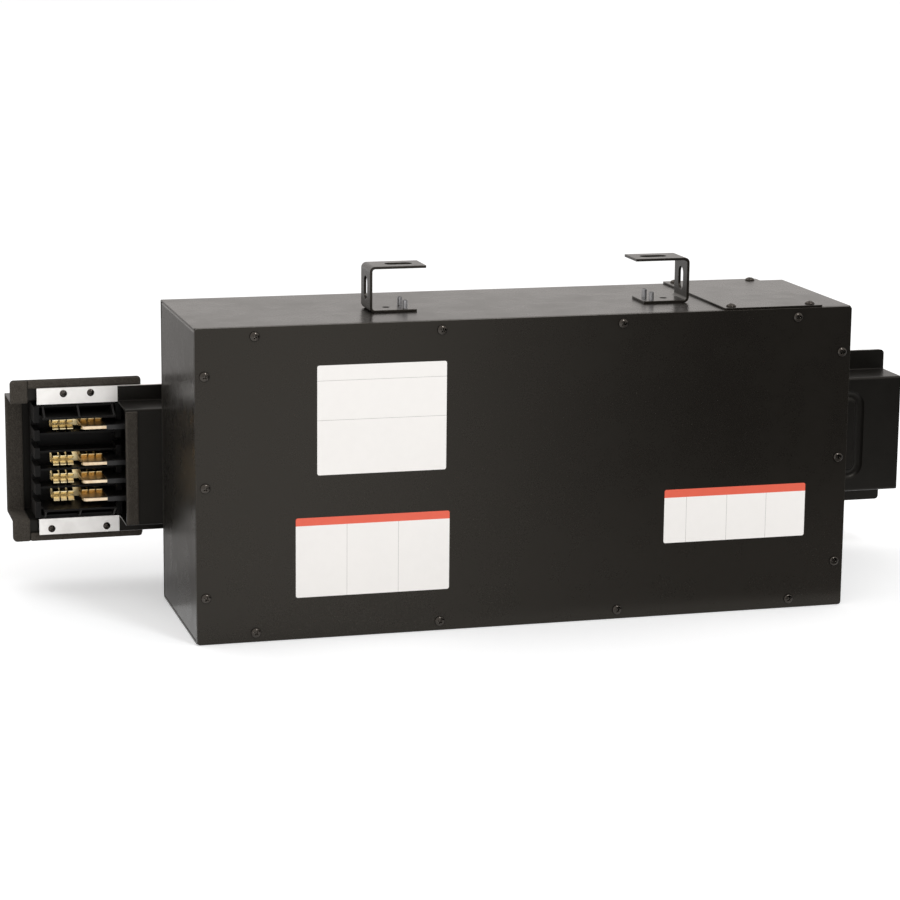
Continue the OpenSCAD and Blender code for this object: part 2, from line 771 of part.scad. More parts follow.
module bus_bar(i) {
    c = 2;
    y0 = bus_y - bar_w / 2;
    y1 = bus_y + bar_w / 2;
    color(copper) translate([0, 0, bar_z(filled[i]) - bar_t / 2]) linear_extrude(bar_t) polygon([
        [bar_left_x + c, y0], [bar_right_x - c, y0], [bar_right_x, y0 + c], [bar_right_x, y1 - c],
        [bar_right_x - c, y1], [bar_left_x + c, y1], [bar_left_x, y1 - c], [bar_left_x, y0 + c]]);
}

module bus_bar_1() {
    bus_bar(0);
}

module bus_bar_2() {
    bus_bar(1);
}

module bus_bar_3() {
    bus_bar(2);
}

module bus_bar_4() {
    bus_bar(3);
}

// A flat insulating tube on a bar from x0 to x1
module sleeve(position, x0, x1) {
    inner_w = bar_w / 2 + 0.1;
    inner_t = bar_t / 2 + 0.1;
    translate([0, bus_y, bar_z(position)]) difference() {
        slab([x0, -inner_w - sleeve_t, -inner_t - sleeve_t], [x1, inner_w + sleeve_t, inner_t + sleeve_t]);
        slab([x0 - 1, -inner_w, -inner_t], [x1 + 1, inner_w, inner_t]);
    }
}

// Each bar's sleeve is cut away where its tap strap lies on it
module bar_sleeves() {
    lap = strap_w / 2 + 3;
    color(moulded_black) for (i = [0 : 3]) {
        sleeve(filled[i], bar_left_x + bar_bare_l, strap_x(i) - lap);
        sleeve(filled[i], strap_x(i) + lap, bar_right_x - bar_bare_l);
    }
}

// Moulded plates with a window for each bar position
module bar_supports() {
    window_d = bar_w + 0.2 + 2 * sleeve_t + 2 * seat_gap;
    window_t = bar_t + 0.2 + 2 * sleeve_t + 2 * seat_gap;
    depth = housing_back_y - back_y - 2 * hat_t - 2 * seat_gap;
    height = 2 * (hat_inner - seat_gap);
    color(moulded_black) for (x = support_spots) along_x(x - support_t / 2, x + support_t / 2)
        translate([bus_y, bus_z]) difference() {
            rounded_rect(depth, height, 4);
            for (k = [-2 : 2]) translate([0, k * bar_pitch]) square([window_d, window_t], center = true);
            for (i = [-1, 1], k = [-1.5 : 1.5]) translate([i * (depth / 2 - 13), k * bar_pitch])
                circle(d = 10);
        }
}

// ---- Joint insulator and contact jaws ------------------------------------

module joint_insulator() {
    x0 = joint_left_x - insulator_w / 2;
    x1 = joint_left_x + insulator_w / 2;
    slot_y = insulator_wall_y - 4;
    side_y = flange_y - insulator_side_front;
    shelf_half = insulator_fin_pitch + insulator_fin_t;
    ear_x = housing_left - joint_left_x - 4;
    ear_z = foam_low - seat_gap;
    foot_x = 30;
    foot_z = 45;
    color(moulded_black) translate([0, 0, bus_z]) difference() {
        union() {
            // back wall
            slab([x0, insulator_wall_y, -insulator_half], [x1, insulator_back_y, insulator_half]);
            // side walls
            for (x = [x0, x1 - insulator_side])
                slab([x, side_y, -insulator_half], [x + insulator_side, insulator_back_y, insulator_half]);
            // dividers between the cells
            for (k = [-1.5 : 1.5]) slab(
                [x0, divider_y, k * bar_pitch - insulator_wall / 2],
                [x1, insulator_back_y, k * bar_pitch + insulator_wall / 2]);
            for (s = [-1, 1]) {
                // shelf in front of the outer cells, roof behind the ground bar
                shelf = [s * cell_half, s * (cell_half + insulator_wall)];
                roof = [s * (insulator_half - insulator_wall), s * insulator_half];
                slab([x0, side_y, min(shelf)], [x1, insulator_back_y, max(shelf)]);
                slab([joint_left_x - shelf_half, insulator_y, min(shelf)],
                     [joint_left_x + shelf_half, insulator_back_y, max(shelf)]);
                slab([x0, ground_back_y, min(roof)], [x1, insulator_back_y, max(roof)]);
                // fins between them, cut back to the side walls' front at the roof
                for (k = [-1 : 1]) along_x(
                    joint_left_x + k * insulator_fin_pitch - insulator_fin_t / 2,
                    joint_left_x + k * insulator_fin_pitch + insulator_fin_t / 2) polygon([
                        [insulator_y, s * cell_half],
                        [insulator_y, s * (cell_half + insulator_wall)],
                        [side_y, s * insulator_half],
                        [insulator_back_y, s * insulator_half],
                        [insulator_back_y, s * cell_half]]);
                // ear between the ground bar and the rear cover
                ear = [s * (insulator_half - insulator_wall), s * ear_z];
                slab([joint_left_x - ear_x, ground_back_y, min(ear)],
                     [joint_left_x + ear_x, rear_foam_y, max(ear)]);
            }
            // feet that stand on the rear cover
            for (i = [-1, 1], j = [-1, 1])
                translate([joint_left_x + i * foot_x, insulator_back_y, j * foot_z]) rotate([-90, 0, 0])
                    cylinder(d = 12, h = rear_cover_back_y - joint_cover_t - insulator_back_y);
        }
        // slots in the side walls, open to the front, where bars enter the cells
        for (k = [-2 : 2]) slab(
            [x0 - 1, side_y - 1, k * bar_pitch - side_slot_h / 2],
            [x0 + insulator_side + 0.01, slot_y, k * bar_pitch + side_slot_h / 2]);
        for (k = [-2 : 2]) slab(
            [x1 - insulator_side - 0.01, side_y - 1, k * bar_pitch - side_slot_h / 2],
            [x1 + 1, slot_y, k * bar_pitch + side_slot_h / 2]);
        for (p = joint_screws(joint_left_x))
            pin_y([p[0], p[1] - bus_z], joint_screw_d + hole_clearance, ground_back_y - 1, rear_foam_y + 1);
    }
}

// Outline in Y and Z of one upper finger: it springs from its root down to the
// bar, bends there and flares away to a tip that guides the bar in
module finger_outline(gap) {
    root = cell_root;
    tip_y = flange_y + finger_tip_back;
    pinch_y = tip_y + finger_flare_l;
    flat = 1.5;
    polygon([
        [jaw_root_y, root], [pinch_y + flat, gap], [pinch_y, gap], [tip_y, gap + finger_flare],
        [tip_y, gap + finger_flare + leaf_t], [tip_y + leaf_t / 2, gap + finger_flare + leaf_t],
        [pinch_y + leaf_t / 2, gap + leaf_t], [pinch_y + flat, gap + leaf_t],
        [jaw_root_y, root + leaf_t], [insulator_wall_y, root + leaf_t], [insulator_wall_y, root]]);
}

// A contact jaw: a spine with two rows of spring fingers in two groups. The
// right-hand group grips this unit's bar and the left-hand one is empty.
module contact_jaw(i) {
    spine_t = 2.5;
    group_w = 2 * finger_pitch + finger_w;
    color(spring_brass) translate([joint_left_x, 0, bar_z(filled[i])]) {
        slab([-jaw_l / 2, insulator_wall_y - spine_t, -cell_root - leaf_t],
             [jaw_l / 2, insulator_wall_y, cell_root + leaf_t]);
        for (m = [0, 1]) mirror([0, 0, m]) for (group = [-1, 1]) {
            middle = group * finger_group_pitch / 2;
            slab([middle - group_w / 2, jaw_root_y, cell_root],
                 [middle + group_w / 2, insulator_wall_y, cell_root + leaf_t]);
            for (k = [-1 : 1]) {
                x = middle + k * finger_pitch;
                along_x(x - finger_w / 2, x + finger_w / 2)
                    finger_outline(group < 0 ? empty_gap : bar_t / 2 + 0.05);
            }
        }
    }
}

module contact_jaw_1() {
    contact_jaw(0);
}

module contact_jaw_2() {
    contact_jaw(1);
}

module contact_jaw_3() {
    contact_jaw(2);
}

module contact_jaw_4() {
    contact_jaw(3);
}

// ---- Joint covers and gaskets --------------------------------------------

// The rounded outline of a joint cover, half_l long each way from its middle,
// through the whole depth of the busway
module cover_outline(middle_x, half_l) {
    along_y(front_cover_face_y - hat_d, rear_cover_back_y + hat_d)
        translate([middle_x, bus_z]) rounded_rect(2 * half_l, 2 * cover_half, joint_cover_corner_r);
}

// A joint cover, cut to its outline
module joint_cover(middle_x, half_l, flange_face, crown_face) {
    intersection() {
        hat_section(middle_x - half_l, middle_x + half_l, flange_face, crown_face,
            cover_wall, cover_half, joint_cover_t);
        cover_outline(middle_x, half_l);
    }
}

module joint_cover_rear() {
    color(housing_black) difference() {
        joint_cover(joint_left_x, rear_cover_half, rear_foam_y, rear_cover_back_y);
        for (p = joint_screws(joint_left_x))
            pin_y(p, joint_screw_d + hole_clearance, rear_foam_y - 1, rear_foam_y + joint_cover_t + 1);
    }
}

module rear_cover_screws() {
    color(screw_dark) front_screws(joint_screws(joint_left_x), flange_y, joint_screw_d,
        joint_screw_head_d, joint_screw_head_h,
        ground_t + hat_t + foam_t + joint_cover_t + joint_nut_h + thread_end / 2);
}

module gasket_rear_strips() {
    x0 = joint_left_x - rear_cover_half + foam_end_w;
    x1 = joint_left_x + rear_cover_half - 1;
    color(foam_grey) for (s = [-1, 1]) intersection() {
        z = [bus_z + s * foam_low, bus_z + s * cover_half];
        slab([x0, rear_flange_y, min(z)], [x1, rear_foam_y, max(z)]);
        cover_outline(joint_left_x, rear_cover_half);
    }
}

// Foam across the open end of the rear cover, following its hat section
module gasket_rear_end() {
    x0 = joint_left_x - rear_cover_half;
    crown = rear_cover_back_y - joint_cover_t;
    wall = cover_wall - joint_cover_t;
    skin = 0.8;
    c = 2;
    color(foam_grey) intersection() {
        along_x(x0, x0 + foam_end_w) translate([0, bus_z]) difference() {
            union() {
                translate([rear_flange_y, -cover_half]) square([foam_t, 2 * cover_half]);
                polygon([
                    [rear_flange_y, -wall], [crown - c, -wall], [crown, c - wall],
                    [crown, wall - c], [crown - c, wall], [rear_flange_y, wall]]);
            }
            translate([rear_flange_y - 1, skin - wall])
                square([crown - foam_t - rear_flange_y + 1, 2 * (wall - skin)]);
        }
        cover_outline(joint_left_x, rear_cover_half);
    }
}

// A vertical foam strip on the crown of the housing, between y0 and y1
module crown_strip(x0, y0, y1) {
    slab([x0, y0, bus_z - hat_half + 1.5], [x0 + foam_strip_w, y1, bus_z + hat_half - 1.5]);
}

module gasket_hat_left() {
    color(foam_grey) crown_strip(housing_left, back_y - foam_t + seat_gap, back_y);
}

module gasket_hat_right() {
    color(foam_grey) crown_strip(housing_right - foam_strip_w, back_y - foam_t + seat_gap, back_y);
}

module gasket_hat_rear() {
    color(foam_grey) crown_strip(housing_left, housing_back_y, housing_back_y + foam_t);
}

// The ring-shaped path of the bead, swept with a round section of radius r
module bead_sweep(r) {
    half_w = (bead_w - bead_groove_w) / 2;
    straight = bead_h - bead_w;
    for (i = [-1, 1]) {
        translate([i * half_w, 0, -straight / 2]) cylinder(r = r, h = straight);
        translate([0, 0, i * straight / 2]) rotate([90, i < 0 ? 180 : 0, 0])
            rotate_extrude(angle = 180) translate([half_w, 0]) circle(r);
    }
}

module joint_cover_front() {
    face = front_cover_face_y;
    // radius of the groove's round section, and how far its centre is in front
    groove_r = (pow(bead_groove_w / 2, 2) + pow(bead_depth, 2)) / (2 * bead_depth);
    stand_off = groove_r - bead_depth;
    color(housing_black) difference() {
        union() {
            joint_cover(joint_right_x, front_cover_half, front_foam_y, face);
            intersection() {
                translate([joint_right_x, face - stand_off, bus_z]) bead_sweep(groove_r + joint_cover_t);
                slab([joint_right_x - bead_w, face + joint_cover_t / 2, bus_z - bead_h],
                     [joint_right_x + bead_w, face + 3 * bead_depth, bus_z + bead_h]);
            }
        }
        translate([joint_right_x, face - stand_off, bus_z]) bead_sweep(groove_r);
        for (p = concat(cover_fixings, joint_screws(joint_right_x)))
            pin_y(p, joint_screw_d + 0.1, front_foam_y - joint_cover_t - 1, front_foam_y + 1);
    }
}

module joint_cover_screws() {
    head_y = front_foam_y - joint_cover_t;
    color(screw_dark) front_screws(concat(cover_fixings, joint_screws(joint_right_x)), head_y,
        joint_screw_d, joint_screw_head_d, joint_screw_head_h,
        joint_cover_t + foam_t + 2 * hat_t + ground_t + thread_end);
}

module gasket_cover_strips() {
    x0 = joint_right_x - front_cover_half;
    x1 = joint_right_x + front_cover_half;
    color(foam_grey) for (s = [-1, 1]) intersection() {
        z = [bus_z + s * foam_low, bus_z + s * cover_half];
        slab([x0, front_foam_y, min(z)], [x1, front_foam_y + foam_t - seat_gap, max(z)]);
        cover_outline(joint_right_x, front_cover_half);
    }
}

// ---- Taps, lugs and earth bar --------------------------------------------

// A strap lies on its bar, comes forward through the window and turns up in
// front of the terminal board
module tap_strap(i) {
    z = bar_z(filled[i]) + bar_t / 2 + strap_t / 2;
    y_up = strap_face_y + strap_t / 2;
    lap_end = bus_y + bar_w / 2 - strap_lap_end;
    color(copper) difference() {
        sheet_along_x(strap_x(i) - strap_w / 2, strap_x(i) + strap_w / 2,
            [[lap_end, z], [y_up, z], [y_up, strap_top_z]], strap_t, 2 * bend_r);
        pin_y([strap_x(i), lug_bolt_z], screw_d + hole_clearance, strap_face_y - 1, board_front_y + 1);
    }
}

module tap_strap_1() {
    tap_strap(0);
}

module tap_strap_2() {
    tap_strap(1);
}

module tap_strap_3() {
    tap_strap(2);
}

module tap_strap_4() {
    tap_strap(3);
}

module terminal_board() {
    color(board_red) difference() {
        along_y(board_front_y, board_back_y) translate([strap_row_x, board_z + board_h / 2])
            rounded_rect(board_w, board_h, 5);
        for (i = [0 : 3]) pin_y([strap_x(i), lug_bolt_z], screw_d + hole_clearance,
            board_front_y - 1, board_back_y + 1);
        for (p = board_screw_spots) pin_y(p, screw_d + hole_clearance, board_front_y - 1, board_back_y + 1);
    }
}

module board_standoffs() {
    color(zinc) for (p = board_screw_spots) difference() {
        translate([p[0], back_inner_y, p[1]]) rotate([90, 0, 0])
            cylinder(d = standoff_d, h = standoff_l, $fn = 6);
        pin_y(p, screw_d + 0.1, board_back_y - 1, board_back_y + standoff_bore_l);
    }
}

module board_screws() {
    color(zinc) front_screws(board_screw_spots, board_front_y, screw_d, screw_head_d, screw_head_h,
        board_t + board_screw_grip);
}

// A cable lug: a block with a vertical cable bore, a clamping screw from the
// front, and a tongue below that bolts to the strap
module lug(i) {
    x = strap_x(i);
    tongue_half = lug_w / 2 - lug_tongue_step;
    color(bare_aluminium) difference() {
        union() {
            translate([x, strap_face_y - lug_d / 2, lug_z]) linear_extrude(lug_h)
                rounded_rect(lug_w, lug_d, lug_edge_r);
            slab([x - tongue_half, tongue_y, lug_z - lug_tongue_h],
                 [x + tongue_half, strap_face_y, lug_z + 1]);
        }
        translate([x, lug_bore_y, lug_z - 1]) cylinder(d = lug_bore_d, h = lug_h + 2);
        pin_y([x, lug_z + lug_h / 2], lug_screw_d + 0.1, lug_front_y - 1, lug_bore_y);
        pin_y([x, lug_bolt_z], screw_d + hole_clearance, tongue_y - 1, strap_face_y + 1);
    }
}

module lug_1() {
    lug(0);
}

module lug_2() {
    lug(1);
}

module lug_3() {
    lug(2);
}

module lug_4() {
    lug(3);
}

// A socket set screw, standing a little out of the lug
module lug_screw(i) {
    stand_out = 4;
    socket_l = 4;
    tip_y = lug_bore_y - lug_bore_d / 2 - 0.5;
    spot = [strap_x(i), lug_z + lug_h / 2];
    color(zinc) difference() {
        pin_y(spot, lug_screw_d, lug_front_y - stand_out, tip_y);
        translate([spot[0], lug_front_y - stand_out + socket_l, spot[1]]) rotate([90, 0, 0])
            cylinder(d = lug_screw_d / 2, h = socket_l + 1, $fn = 6);
    }
}

module lug_screw_1() {
    lug_screw(0);
}

module lug_screw_2() {
    lug_screw(1);
}

module lug_screw_3() {
    lug_screw(2);
}

module lug_screw_4() {
    lug_screw(3);
}

// Hexagon bolts through the lugs' tongues, the straps and the board, with
// their nuts behind the board
module lug_bolts() {
    color(zinc) for (i = [0 : 3]) {
        spot = [strap_x(i), lug_bolt_z];
        hexagon_y(spot, screw_d, tongue_y - bolt_head_h, tongue_y);
        pin_y(spot, screw_d, tongue_y, board_back_y + hex_nut_h + thread_end);
        nut_y(spot, screw_d, board_back_y, board_back_y + hex_nut_h);
    }
}

module earth_bar() {
    color(bare_aluminium) difference() {
        slab([earth_x - earth_l / 2, back_inner_y - earth_t, earth_z - earth_h / 2],
             [earth_x + earth_l / 2, back_inner_y, earth_z + earth_h / 2]);
        for (p = earth_spots) pin_y(p, screw_d + 0.1, back_inner_y - earth_t - 1, back_inner_y - 1);
    }
}

module earth_bar_screws() {
    color(zinc) front_screws(earth_spots, back_inner_y - earth_t, screw_d, screw_head_d - 1, screw_head_h,
        earth_t - 2);
}

// ---- Nodes ---------------------------------------------------------------

enclosure_wrap();
end_plate_left();
end_plate_right();
front_cover();
cover_screws();
weld_nuts();
cable_entry_plate();
entry_screws();
hanger_left();
hanger_right();
hanger_screws();
housing_front();
housing_rear();
ground_bar_top();
ground_bar_bottom();
flange_rivets();
housing_screws();
hex_nuts();
bus_bar_1();
bus_bar_2();
bus_bar_3();
bus_bar_4();
bar_sleeves();
bar_supports();
joint_insulator();
contact_jaw_1();
contact_jaw_2();
contact_jaw_3();
contact_jaw_4();
joint_cover_rear();
rear_cover_screws();
gasket_rear_strips();
gasket_rear_end();
gasket_hat_left();
gasket_hat_right();
gasket_hat_rear();
joint_cover_front();
joint_cover_screws();
gasket_cover_strips();
tap_strap_1();
tap_strap_2();
tap_strap_3();
tap_strap_4();
terminal_board();
board_standoffs();
board_screws();
lug_1();
lug_2();
lug_3();
lug_4();
lug_screw_1();
lug_screw_2();
lug_screw_3();
lug_screw_4();
lug_bolts();
earth_bar();
earth_bar_screws();
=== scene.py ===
# %% [markdown]
# # Busway tap off box
#
# A black sheet-steel box is screwed to a length of busway, a housing that
# carries flat power bars along a data hall. The box, its covers, bars, jaws
# and screws come from a CAD model, already in place and to size. This lesson
# dresses them: a shader for every finish, then foam, labels, threads and finer
# screws as pieces of their own, and at the end soft light and a camera.

import json
import math

import bmesh
import bpy
from mathutils import Matrix, Vector, noise


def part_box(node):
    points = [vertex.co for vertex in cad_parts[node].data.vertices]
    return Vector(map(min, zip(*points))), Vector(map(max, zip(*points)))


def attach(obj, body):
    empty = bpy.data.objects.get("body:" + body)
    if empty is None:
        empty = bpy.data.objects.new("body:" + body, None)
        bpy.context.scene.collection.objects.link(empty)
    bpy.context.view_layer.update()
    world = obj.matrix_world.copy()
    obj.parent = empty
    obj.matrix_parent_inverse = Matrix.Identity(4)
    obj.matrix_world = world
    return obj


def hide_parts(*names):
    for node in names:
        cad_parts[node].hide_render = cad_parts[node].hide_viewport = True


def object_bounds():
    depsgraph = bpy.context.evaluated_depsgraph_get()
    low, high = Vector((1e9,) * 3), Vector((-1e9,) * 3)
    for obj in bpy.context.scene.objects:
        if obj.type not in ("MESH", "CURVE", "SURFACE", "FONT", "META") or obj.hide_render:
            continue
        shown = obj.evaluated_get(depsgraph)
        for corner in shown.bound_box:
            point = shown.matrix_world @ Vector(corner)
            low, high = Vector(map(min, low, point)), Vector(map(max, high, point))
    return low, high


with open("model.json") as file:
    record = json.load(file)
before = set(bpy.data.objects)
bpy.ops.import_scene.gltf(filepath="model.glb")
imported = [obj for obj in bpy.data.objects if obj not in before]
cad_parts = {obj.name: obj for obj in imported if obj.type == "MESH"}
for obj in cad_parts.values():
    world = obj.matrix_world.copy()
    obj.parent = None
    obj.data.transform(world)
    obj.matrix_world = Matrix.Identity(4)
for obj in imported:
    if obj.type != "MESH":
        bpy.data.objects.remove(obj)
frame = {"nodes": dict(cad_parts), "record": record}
cad_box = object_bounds()
MM = 0.001
print("CAD box:", [[round(v, 4) for v in corner] for corner in cad_box])

# %% [markdown]
# ## Helpers for nodes
#
# A shader is a tree of nodes joined by links. Small helpers keep the cells that
# follow short: they add a node and fill its sockets by name or number, make an
# empty group with named inputs and outputs, and place a group in a material. A
# group is built once and placed in many materials, each with its own values.

# %% Node helpers
FLOAT = "NodeSocketFloat"
VECTOR = "NodeSocketVector"


def fill(tree, node, sockets):
    """Gives each named or numbered socket of a node its value, or a link to another socket."""
    for name, value in sockets.items():
        if isinstance(value, bpy.types.NodeSocket):
            tree.links.new(value, node.inputs[name])
        else:
            node.inputs[name].default_value = value


def add(tree, kind, sockets=None, **settings):
    """A new node of this kind, its settings made and its sockets filled."""
    made = tree.nodes.new(kind)
    for name, value in settings.items():
        setattr(made, name, value)
    fill(tree, made, sockets or {})
    return made


def place(tree, group, sockets):
    """This group, placed in a material with its own values."""
    return add(tree, "ShaderNodeGroup", sockets, node_tree=group)


def new_group(name, inputs, outputs):
    """An empty shader group; returns the tree, its input node and its output node."""
    tree = bpy.data.node_groups.new(name, "ShaderNodeTree")
    for label, kind, value in inputs:
        socket = tree.interface.new_socket(label, in_out="INPUT", socket_type=kind)
        socket.default_value = value
    for label, kind in outputs:
        tree.interface.new_socket(label, in_out="OUTPUT", socket_type=kind)
    print("group", name, "-", len(inputs), "inputs,", len(outputs), "outputs")
    return tree, tree.nodes.new("NodeGroupInput"), tree.nodes.new("NodeGroupOutput")


def new_material(name):
    """A fresh material, its node tree and its Principled shader."""
    material = bpy.data.materials.new(name)
    material.use_nodes = True
    tree = material.node_tree
    return material, tree, tree.nodes["Principled BSDF"]


# %% [markdown]
# ## Helpers for sums
#
# Three kinds of node turn up in almost every tree: a sum of two values, a value
# spread over a new range, and two colours blended by a mask. Each gets a short
# function that returns its output socket, ready to be linked. The Mix node has
# number, vector and colour sockets under the same names, so its colour sockets
# are taken by their places.

# %% Helpers for sums
MIX_PLAIN, MIX_MARKED, MIX_RESULT = 6, 7, 2


def maths(tree, operation, first, second):
    """The result of one operation on two values or sockets."""
    made = add(tree, "ShaderNodeMath", {0: first, 1: second}, operation=operation)
    return made.outputs["Value"]


def spread(tree, value, from_min, from_max, to_min=0.0, to_max=1.0, **settings):
    """A value moved from one range to another and held inside it."""
    sockets = {
        "Value": value,
        "From Min": from_min,
        "From Max": from_max,
        "To Min": to_min,
        "To Max": to_max,
    }
    return add(tree, "ShaderNodeMapRange", sockets, **settings).outputs["Result"]


def blend_colour(tree, mask, plain, marked):
    """The plain colour, or a linked one, turned towards the marked colour by the mask."""
    if not isinstance(plain, bpy.types.NodeSocket):
        plain = (*plain, 1.0)
    sockets = {"Factor": mask, MIX_PLAIN: plain, MIX_MARKED: (*marked, 1.0)}
    return add(tree, "ShaderNodeMix", sockets, data_type="RGBA").outputs[MIX_RESULT]


# %% [markdown]
# ## Rounded edges
#
# No pressed or moulded edge is perfectly sharp: each one catches a thin line
# of light. A bevel modifier could cut it into every mesh, but the Bevel shader
# node rounds the shading instead and leaves the CAD meshes as they are. How far
# its normal leans away from the real one also says where the edges are, which
# gives the mask for the edge colour: worn paint, and a painted highlight along
# each edge.

# %% Group: rounded edges
BEVEL_SAMPLES = 6
LEAN_STARTS = 0.995
LEAN_ENDS = 0.80
rounded_edges, inp, out = new_group(
    "rounded_edges",
    [("Radius", FLOAT, 0.5 * MM)],
    [("Normal", VECTOR), ("Edge", FLOAT)],
)
bevel = add(
    rounded_edges, "ShaderNodeBevel", {"Radius": inp.outputs["Radius"]}, samples=BEVEL_SAMPLES
)
geometry = add(rounded_edges, "ShaderNodeNewGeometry")
lean = add(
    rounded_edges,
    "ShaderNodeVectorMath",
    {0: bevel.outputs["Normal"], 1: geometry.outputs["True Normal"]},
    operation="DOT_PRODUCT",
)
edge = spread(rounded_edges, lean.outputs["Value"], LEAN_STARTS, LEAN_ENDS)
fill(rounded_edges, out, {"Normal": bevel.outputs["Normal"], "Edge": edge})

# %% [markdown]
# ## Fine grain
#
# Powder paint, moulded plastic and brushed metal all have a fine relief; only
# its size, depth and direction differ. One group makes it from noise in object
# space. Stretch is larger across the grain and smaller along it, so the same
# noise gives even orange peel with equal values and brush lines with unequal
# ones.

# %% Group: fine grain
fine_grain, inp, out = new_group(
    "fine_grain",
    [
        ("Size", FLOAT, 1.0 * MM),
        ("Stretch", VECTOR, (1.0, 1.0, 1.0)),
        ("Depth", FLOAT, 0.02 * MM),
        ("Normal", VECTOR, (0.0, 0.0, 0.0)),
    ],
    [("Value", FLOAT), ("Normal", VECTOR)],
)
where = add(fine_grain, "ShaderNodeTexCoord")
stretched = add(
    fine_grain,
    "ShaderNodeVectorMath",
    {0: where.outputs["Object"], 1: inp.outputs["Stretch"]},
    operation="MULTIPLY",
)
grain = add(
    fine_grain,
    "ShaderNodeTexNoise",
    {
        "Vector": stretched.outputs["Vector"],
        "Scale": maths(fine_grain, "DIVIDE", 1.0, inp.outputs["Size"]),
        "Detail": 3.0,
        "Roughness": 0.55,
    },
)
relief = add(
    fine_grain,
    "ShaderNodeBump",
    {
        "Strength": 1.0,
        "Distance": inp.outputs["Depth"],
        "Height": grain.outputs["Fac"],
        "Normal": inp.outputs["Normal"],
    },
)
fill(fine_grain, out, {"Value": grain.outputs["Fac"], "Normal": relief.outputs["Normal"]})

# %% [markdown]
# ## Handling marks
#
# A part that has been carried and screwed together is never evenly clean. Two
# noises of different size, multiplied, give soft patches where hands and dust
# have changed the sheen. The mask goes mostly to roughness, where the eye reads
# it in reflections, and only a little to colour.

# %% Group: handling marks
FINER_BY = 6.0
CLEAN_BELOW = 0.16
MARKED_ABOVE = 0.36
handling_marks, inp, out = new_group(
    "handling_marks",
    [("Size", FLOAT, 0.08), ("Amount", FLOAT, 1.0)],
    [("Mask", FLOAT)],
)
where = add(handling_marks, "ShaderNodeTexCoord")
scale = maths(handling_marks, "DIVIDE", 1.0, inp.outputs["Size"])
broad = add(
    handling_marks,
    "ShaderNodeTexNoise",
    {"Vector": where.outputs["Object"], "Scale": scale, "Detail": 2.0},
)
finer_scale = maths(handling_marks, "MULTIPLY", scale, FINER_BY)
finer = add(
    handling_marks,
    "ShaderNodeTexNoise",
    {"Vector": where.outputs["Object"], "Scale": finer_scale, "Detail": 4.0},
)
both = maths(handling_marks, "MULTIPLY", broad.outputs["Fac"], finer.outputs["Fac"])
patches = spread(handling_marks, both, CLEAN_BELOW, MARKED_ABOVE)
mask = maths(handling_marks, "MULTIPLY", patches, inp.outputs["Amount"])
fill(handling_marks, out, {"Mask": mask})

# %% [markdown]
# ## One recipe for the plain finishes
#
# Paint, plating, bare metal and moulded plastic differ in their numbers more
# than in their structure, so one function lays out the tree: rounded edges feed
# the grain, the grain gives the normal, the marks shift roughness and colour,
# and the edge mask lays a second colour on the edges, partly wear and partly a
# painted highlight. Every finish below is one call with its own named values.

# %% The recipe
SHEEN_LOW = 0.2
SHEEN_HIGH = 1.2


def finish(
    name,
    colour,
    marked,
    edge_wear_and_glint_colour,
    rough,
    metallic=0.0,
    grain_size=0.8 * MM,
    grain_depth=0.02 * MM,
    stretch=(1.0, 1.0, 1.0),
    edge_radius=0.4 * MM,
    edge_wear_and_glint_amount=0.5,
    mark_size=0.08,
    mark_amount=0.6,
    specular=0.5,
    specular_tint=(1.0, 1.0, 1.0),
):
    """A material from the shared groups; rough is its lowest and highest roughness."""
    material, tree, shader = new_material(name)
    edges = place(tree, rounded_edges, {"Radius": edge_radius})
    surface = place(
        tree,
        fine_grain,
        {
            "Size": grain_size,
            "Stretch": stretch,
            "Depth": grain_depth,
            "Normal": edges.outputs["Normal"],
        },
    )
    marks = place(tree, handling_marks, {"Size": mark_size, "Amount": mark_amount})
    toned = blend_colour(tree, marks.outputs["Mask"], colour, marked)
    # The edge colour goes on the edges: partly wear, partly a painted highlight where edges
    # catch the light.
    edge_wear_and_glint = maths(tree, "MULTIPLY", edges.outputs["Edge"], edge_wear_and_glint_amount)
    sheen = maths(tree, "ADD", marks.outputs["Mask"], surface.outputs["Value"])
    fill(
        tree,
        shader,
        {
            "Base Color": blend_colour(tree, edge_wear_and_glint, toned, edge_wear_and_glint_colour),
            "Roughness": spread(tree, sheen, SHEEN_LOW, SHEEN_HIGH, *rough),
            "Normal": surface.outputs["Normal"],
            "Metallic": metallic,
            "Specular IOR Level": specular,
            "Specular Tint": (*specular_tint, 1.0),
        },
    )
    print("finish", name, "roughness", rough)
    return material


# %% [markdown]
# ## Black powder paint
#
# The box is bent from steel sheet and powder painted: a warm near-black with a
# very fine orange peel and a satin sheen. The housing and the joint covers come
# from another paint line and are a little darker and smoother.

